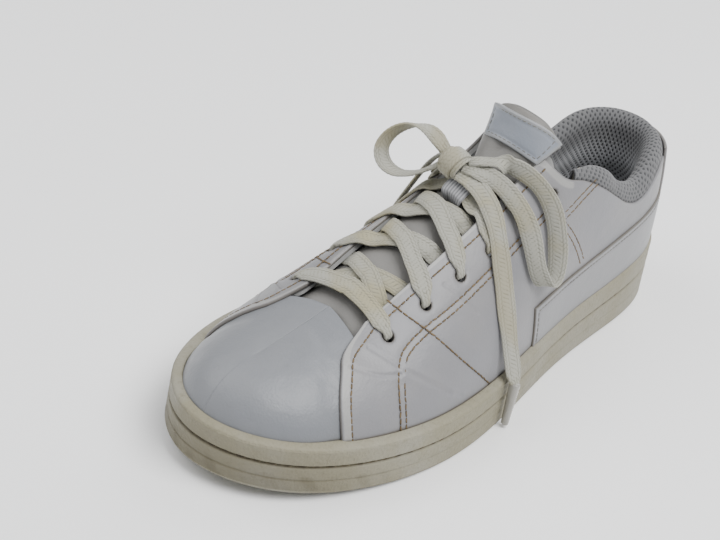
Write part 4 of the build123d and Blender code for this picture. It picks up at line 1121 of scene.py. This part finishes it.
def make_free_lace(name, route, width_ways, far_end, node):
    """Flat lace along a route; width_ways are (share of the length, direction across the lace)."""
    line = route_line(route)
    run = np.concatenate([[0], np.cumsum(np.linalg.norm(np.diff(line, axis=0), axis=1))])
    share = run / run[-1]
    knots = np.array([k for k, _ in width_ways])
    ways = np.array([unit(np.array(w, float)) for _, w in width_ways])
    side = np.stack([np.interp(share, knots, ways[:, k]) for k in range(3)], -1)
    tangent = unit(np.gradient(line, axis=0))
    side = unit(side - tangent * np.sum(side * tangent, axis=1, keepdims=True))
    face = unit(np.cross(side, tangent))
    narrow = 1 - 0.35 * np.exp(-(run / 5.0) ** 2)
    if far_end == "object":
        narrow -= 0.35 * np.exp(-((run[-1] - run) / 5.0) ** 2)
    else:
        narrow -= 0.42 * np.exp(-((run[-1] - run) / 2.5) ** 2)
    piece = ribbon(name, line, side, face, LACE_WIDTH * narrow, np.full(len(run), LACE_THICK) / narrow, lace_stain)
    settle(piece, lace_cotton, "lace_cotton", node)
    return piece


def make_aglet(name, route, side, node):
    """Milky plastic tip: a tapering sleeve with a seam and a crimped mouth."""
    start = np.array(route[-1]) + (side * 0.1, 0.0, 0.9)
    drops = np.concatenate([np.linspace(0, 0.8, 4), np.linspace(1.6, 19.6, 26), [20.0, 20.2]])
    radii = 2.15 - 0.035 * drops
    radii[:4] += (-0.35, -0.08, 0.0, 0.0)
    radii[-2:] = (1.1, 0.3)
    angle = np.linspace(0, 2 * PI, 28, endpoint=False)
    rows = []
    for drop, radius in zip(drops, radii):
        oval = radius * (1 + 0.10 * np.cos(2 * angle) - 0.05 * np.exp(-(np.sin(angle / 2) / 0.12) ** 2))
        centre = start + (side * 0.02 * drop, -0.03 * drop, -drop)
        rows.append(centre + np.stack([oval * np.cos(angle), oval * np.sin(angle), 0 * angle], -1))
    grid = np.stack(rows)
    count, around = grid.shape[:2]
    faces = list(grid_quads(count, around))
    last = np.arange(count - 1) * around + around - 1
    faces += list(np.stack([last, last + around, last + 1, last - around + 1], -1))
    faces += [tuple(range(around)), tuple(range((count - 1) * around, count * around))[::-1]]
    piece = make_object(name, grid.reshape(-1, 3), faces)
    return settle(piece, aglet_plastic, "aglet_plastic", node)


def make_knot():
    """Half hitch: a band wrapped over a bundle of lace."""
    low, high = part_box("lace_knot")
    centre = np.array((low + high) / 2) * 1000
    pieces = []
    wraps = ((0.0, 6.6, (0.35, 1.0, 0.15), 5.6, 5.4), (1.9, 5.4, (0.9, 0.6, -0.2), 4.9, 4.4),
             (-2.6, 4.6, (-0.5, 1.0, 0.3), 4.2, 4.2))
    for number, (shift, width, axis, half_long, half_high) in enumerate(wraps):
        across = unit(np.array([1.0, 0.15 * number, -0.25]))
        up = unit(np.array(axis) * (1, 0.2, 1) + (0, 0, 1.4))
        up = unit(up - across * (up @ across))
        ahead = np.cross(across, up)
        angle = np.linspace(-0.2, 2 * PI - 0.2, 90)
        line = (centre + across * (shift + 1.2 * np.sin(angle / 2))[:, None]
                + ahead * (half_long * np.cos(angle))[:, None] + up * (half_high * np.sin(angle))[:, None])
        out = unit(ahead * (np.cos(angle) / half_long)[:, None] + up * (np.sin(angle) / half_high)[:, None])
        tangent = unit(np.gradient(line, axis=0))
        side = unit(np.cross(tangent, out))
        pieces.append(ribbon("lace_knot_%d" % number, line, side, out, np.full(90, width), np.full(90, 1.9),
                             lace_stain))
    for piece in pieces[1:]:
        settle(piece, lace_cotton, "lace_cotton")
    return settle(pieces[0], lace_cotton, "lace_cotton", "lace_knot")


def make_keeper():
    """Ribbed elastic band over the top crossing."""
    s0, s1, x0, x1 = 134.4, 147.0, -2.6, 6.6
    arch = ((s0, -3.75), (s0 + 0.1, 1.2), (s0 + 1.4, 2.5), ((s0 + s1) / 2, 2.7), (s1 - 1.4, 2.5), (s1 - 0.1, 1.2),
            (s1, -3.75))
    path = smooth_path(arch, 14)
    stations = np.linspace(x0, x1, 60)
    s, x = np.meshgrid(path[:, 0], stations, indexing="ij")
    depth = np.repeat(path[:, 1:], 60, axis=1)
    ribs = np.cos(2 * PI * (stations - x0) / 1.05)[None, :] * np.ones(s.shape)
    base, normal = instep(s, x + 0.001)
    edge = rounded(edge_distance(base, ends=False), 0.45)
    outer = base + normal * (depth + 0.12 * ribs - edge)[..., None]
    inner = base + normal * (depth - 0.8)[..., None]
    # The valleys between the ribs are painted darker as shade.
    piece = shell("lace_keeper_band", outer, inner, values={"shaded_gap": 0.5 - 0.5 * ribs})
    return settle(piece, elastic, "elastic", "lace_keeper")


# ---------------------------------------------------------------- the rest of the CAD pieces
INSIDE = {"midsole_wedge": plain_foam, "strobel_board": fibre_board, "sockliner": sock_cloth,
          "toe_puff": fibre_board, "vamp_lining": lining_cloth, "heel_counter": fibre_board,
          "collar_foam": plain_foam, "facing_stay_lateral": lining_cloth, "facing_stay_medial": lining_cloth,
          "quarter_lining_lateral": lining_cloth, "quarter_lining_medial": lining_cloth}


def dress_cad_pieces():
    for node, finish in INSIDE.items():
        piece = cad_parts[node]
        piece.data.materials.clear()
        piece.data.materials.append(finish)
        for face in piece.data.polygons:
            face.use_smooth = True


# ---------------------------------------------------------------- stage
LAMPS = (("key", (0.70, 0.05, 1.25), 1.0, 30), ("fill", (-0.7, -0.5, 0.9), 1.2, 10),
         ("back", (-0.2, 1.1, 0.9), 1.0, 8))           # name, place, size, watts; all aim at the shoe


def make_stage():
    bpy.ops.mesh.primitive_plane_add(size=6.0, location=(0, 0, 0))
    floor = bpy.context.object
    floor.name = "floor"
    floor.data.materials.append(material("floor_paint", (0.93, 0.93, 0.93), 0.9))
    world = bpy.data.worlds.new("studio")
    bpy.context.scene.world = world
    world.use_nodes = True
    world.node_tree.nodes["Background"].inputs["Color"].default_value = (0.95, 0.97, 1.0, 1)
    world.node_tree.nodes["Background"].inputs["Strength"].default_value = 0.42
    for name, at, size, power in LAMPS:
        lamp = bpy.data.objects.new(name, bpy.data.lights.new(name, "AREA"))
        lamp.data.size = size
        lamp.data.energy = power
        lamp.location = at
        lamp.rotation_euler = (-Vector(at)).to_track_quat("-Z", "Y").to_euler()
        bpy.context.scene.collection.objects.link(lamp)


def make_camera():
    azimuth, elevation, roll = (math.radians(a) for a in (-52.43, 32.41, 10.78))
    target = Vector((-0.03939, -0.00944, 0.02150))
    back = Vector((math.cos(azimuth) * math.cos(elevation), math.sin(azimuth) * math.cos(elevation),
                   math.sin(elevation)))
    right = Vector((0, 0, 1)).cross(back).normalized()
    up = back.cross(right)
    right, up = (right * math.cos(roll) + up * math.sin(roll), up * math.cos(roll) - right * math.sin(roll))
    camera = bpy.data.objects.new("camera", bpy.data.cameras.new("camera"))
    camera.data.sensor_width = 36.0
    camera.data.lens = 1516.0 / 720.0 * 36.0
    camera.data.clip_start, camera.data.clip_end = 0.01, 20.0
    turn = Matrix((right, up, back)).transposed().to_4x4()
    camera.matrix_world = Matrix.Translation(target + back * 0.6395) @ turn
    bpy.context.scene.collection.objects.link(camera)
    bpy.context.scene.camera = camera


# ---------------------------------------------------------------- everything
make_cupsole()
make_sidewall_stitches()
make_vamp()
for side_name, side in (("lateral", 1), ("medial", -1)):
    make_quarter(side, side_name)
    make_quarter_stitches(side, side_name)
    make_overlay(side, side_name)
make_overlay_stitches()
make_heel_panel()
make_collar()
make_tongue()
make_label()
make_keeper()
make_laced_rows()
make_knot()
tip_lateral = make_aglet("aglet_outer", END_LATERAL, 1, "lace_aglet_lateral")
tip_medial = make_aglet("aglet_inner", END_MEDIAL, -1, "lace_aglet_medial")
make_free_lace("lace_loop_outer", LOOP_LATERAL,
               ((0.0, (0.2, 0.9, 0.3)), (0.12, (0.75, 0.6, -0.1)), (0.3, (0.8, 0.6, 0.2)), (0.5, (0.85, 0.5, 0.2)),
                (0.7, (0.75, 0.65, 0.2)), (0.92, (0.7, 0.6, 0.2)), (1.0, (0.2, 0.9, 0.3))),
               "object", "lace_loop_lateral")
make_free_lace("lace_end_outer", END_LATERAL,
               ((0.0, (0.2, 0.9, 0.3)), (0.2, (0.6, 0.75, 0.2)), (0.6, (0.4, 0.9, 0.1)), (1.0, (0.2, 1.0, 0.0))),
               "fitting", "lace_end_lateral")
make_free_lace("lace_loop_inner", LOOP_MEDIAL,
               ((0.0, (0.1, 0.9, 0.3)), (0.3, (0.2, 0.9, -0.3)), (0.6, (0.3, 0.9, -0.2)), (1.0, (0.1, 0.9, 0.3))),
               "object", "lace_loop_medial")
make_free_lace("lace_end_inner", END_MEDIAL,
               ((0.0, (0.2, 0.9, 0.3)), (0.3, (-0.2, 0.95, 0.1)), (1.0, (-0.2, 1.0, 0.0))),
               "fitting", "lace_end_medial")
dress_cad_pieces()
make_stage()
make_camera()
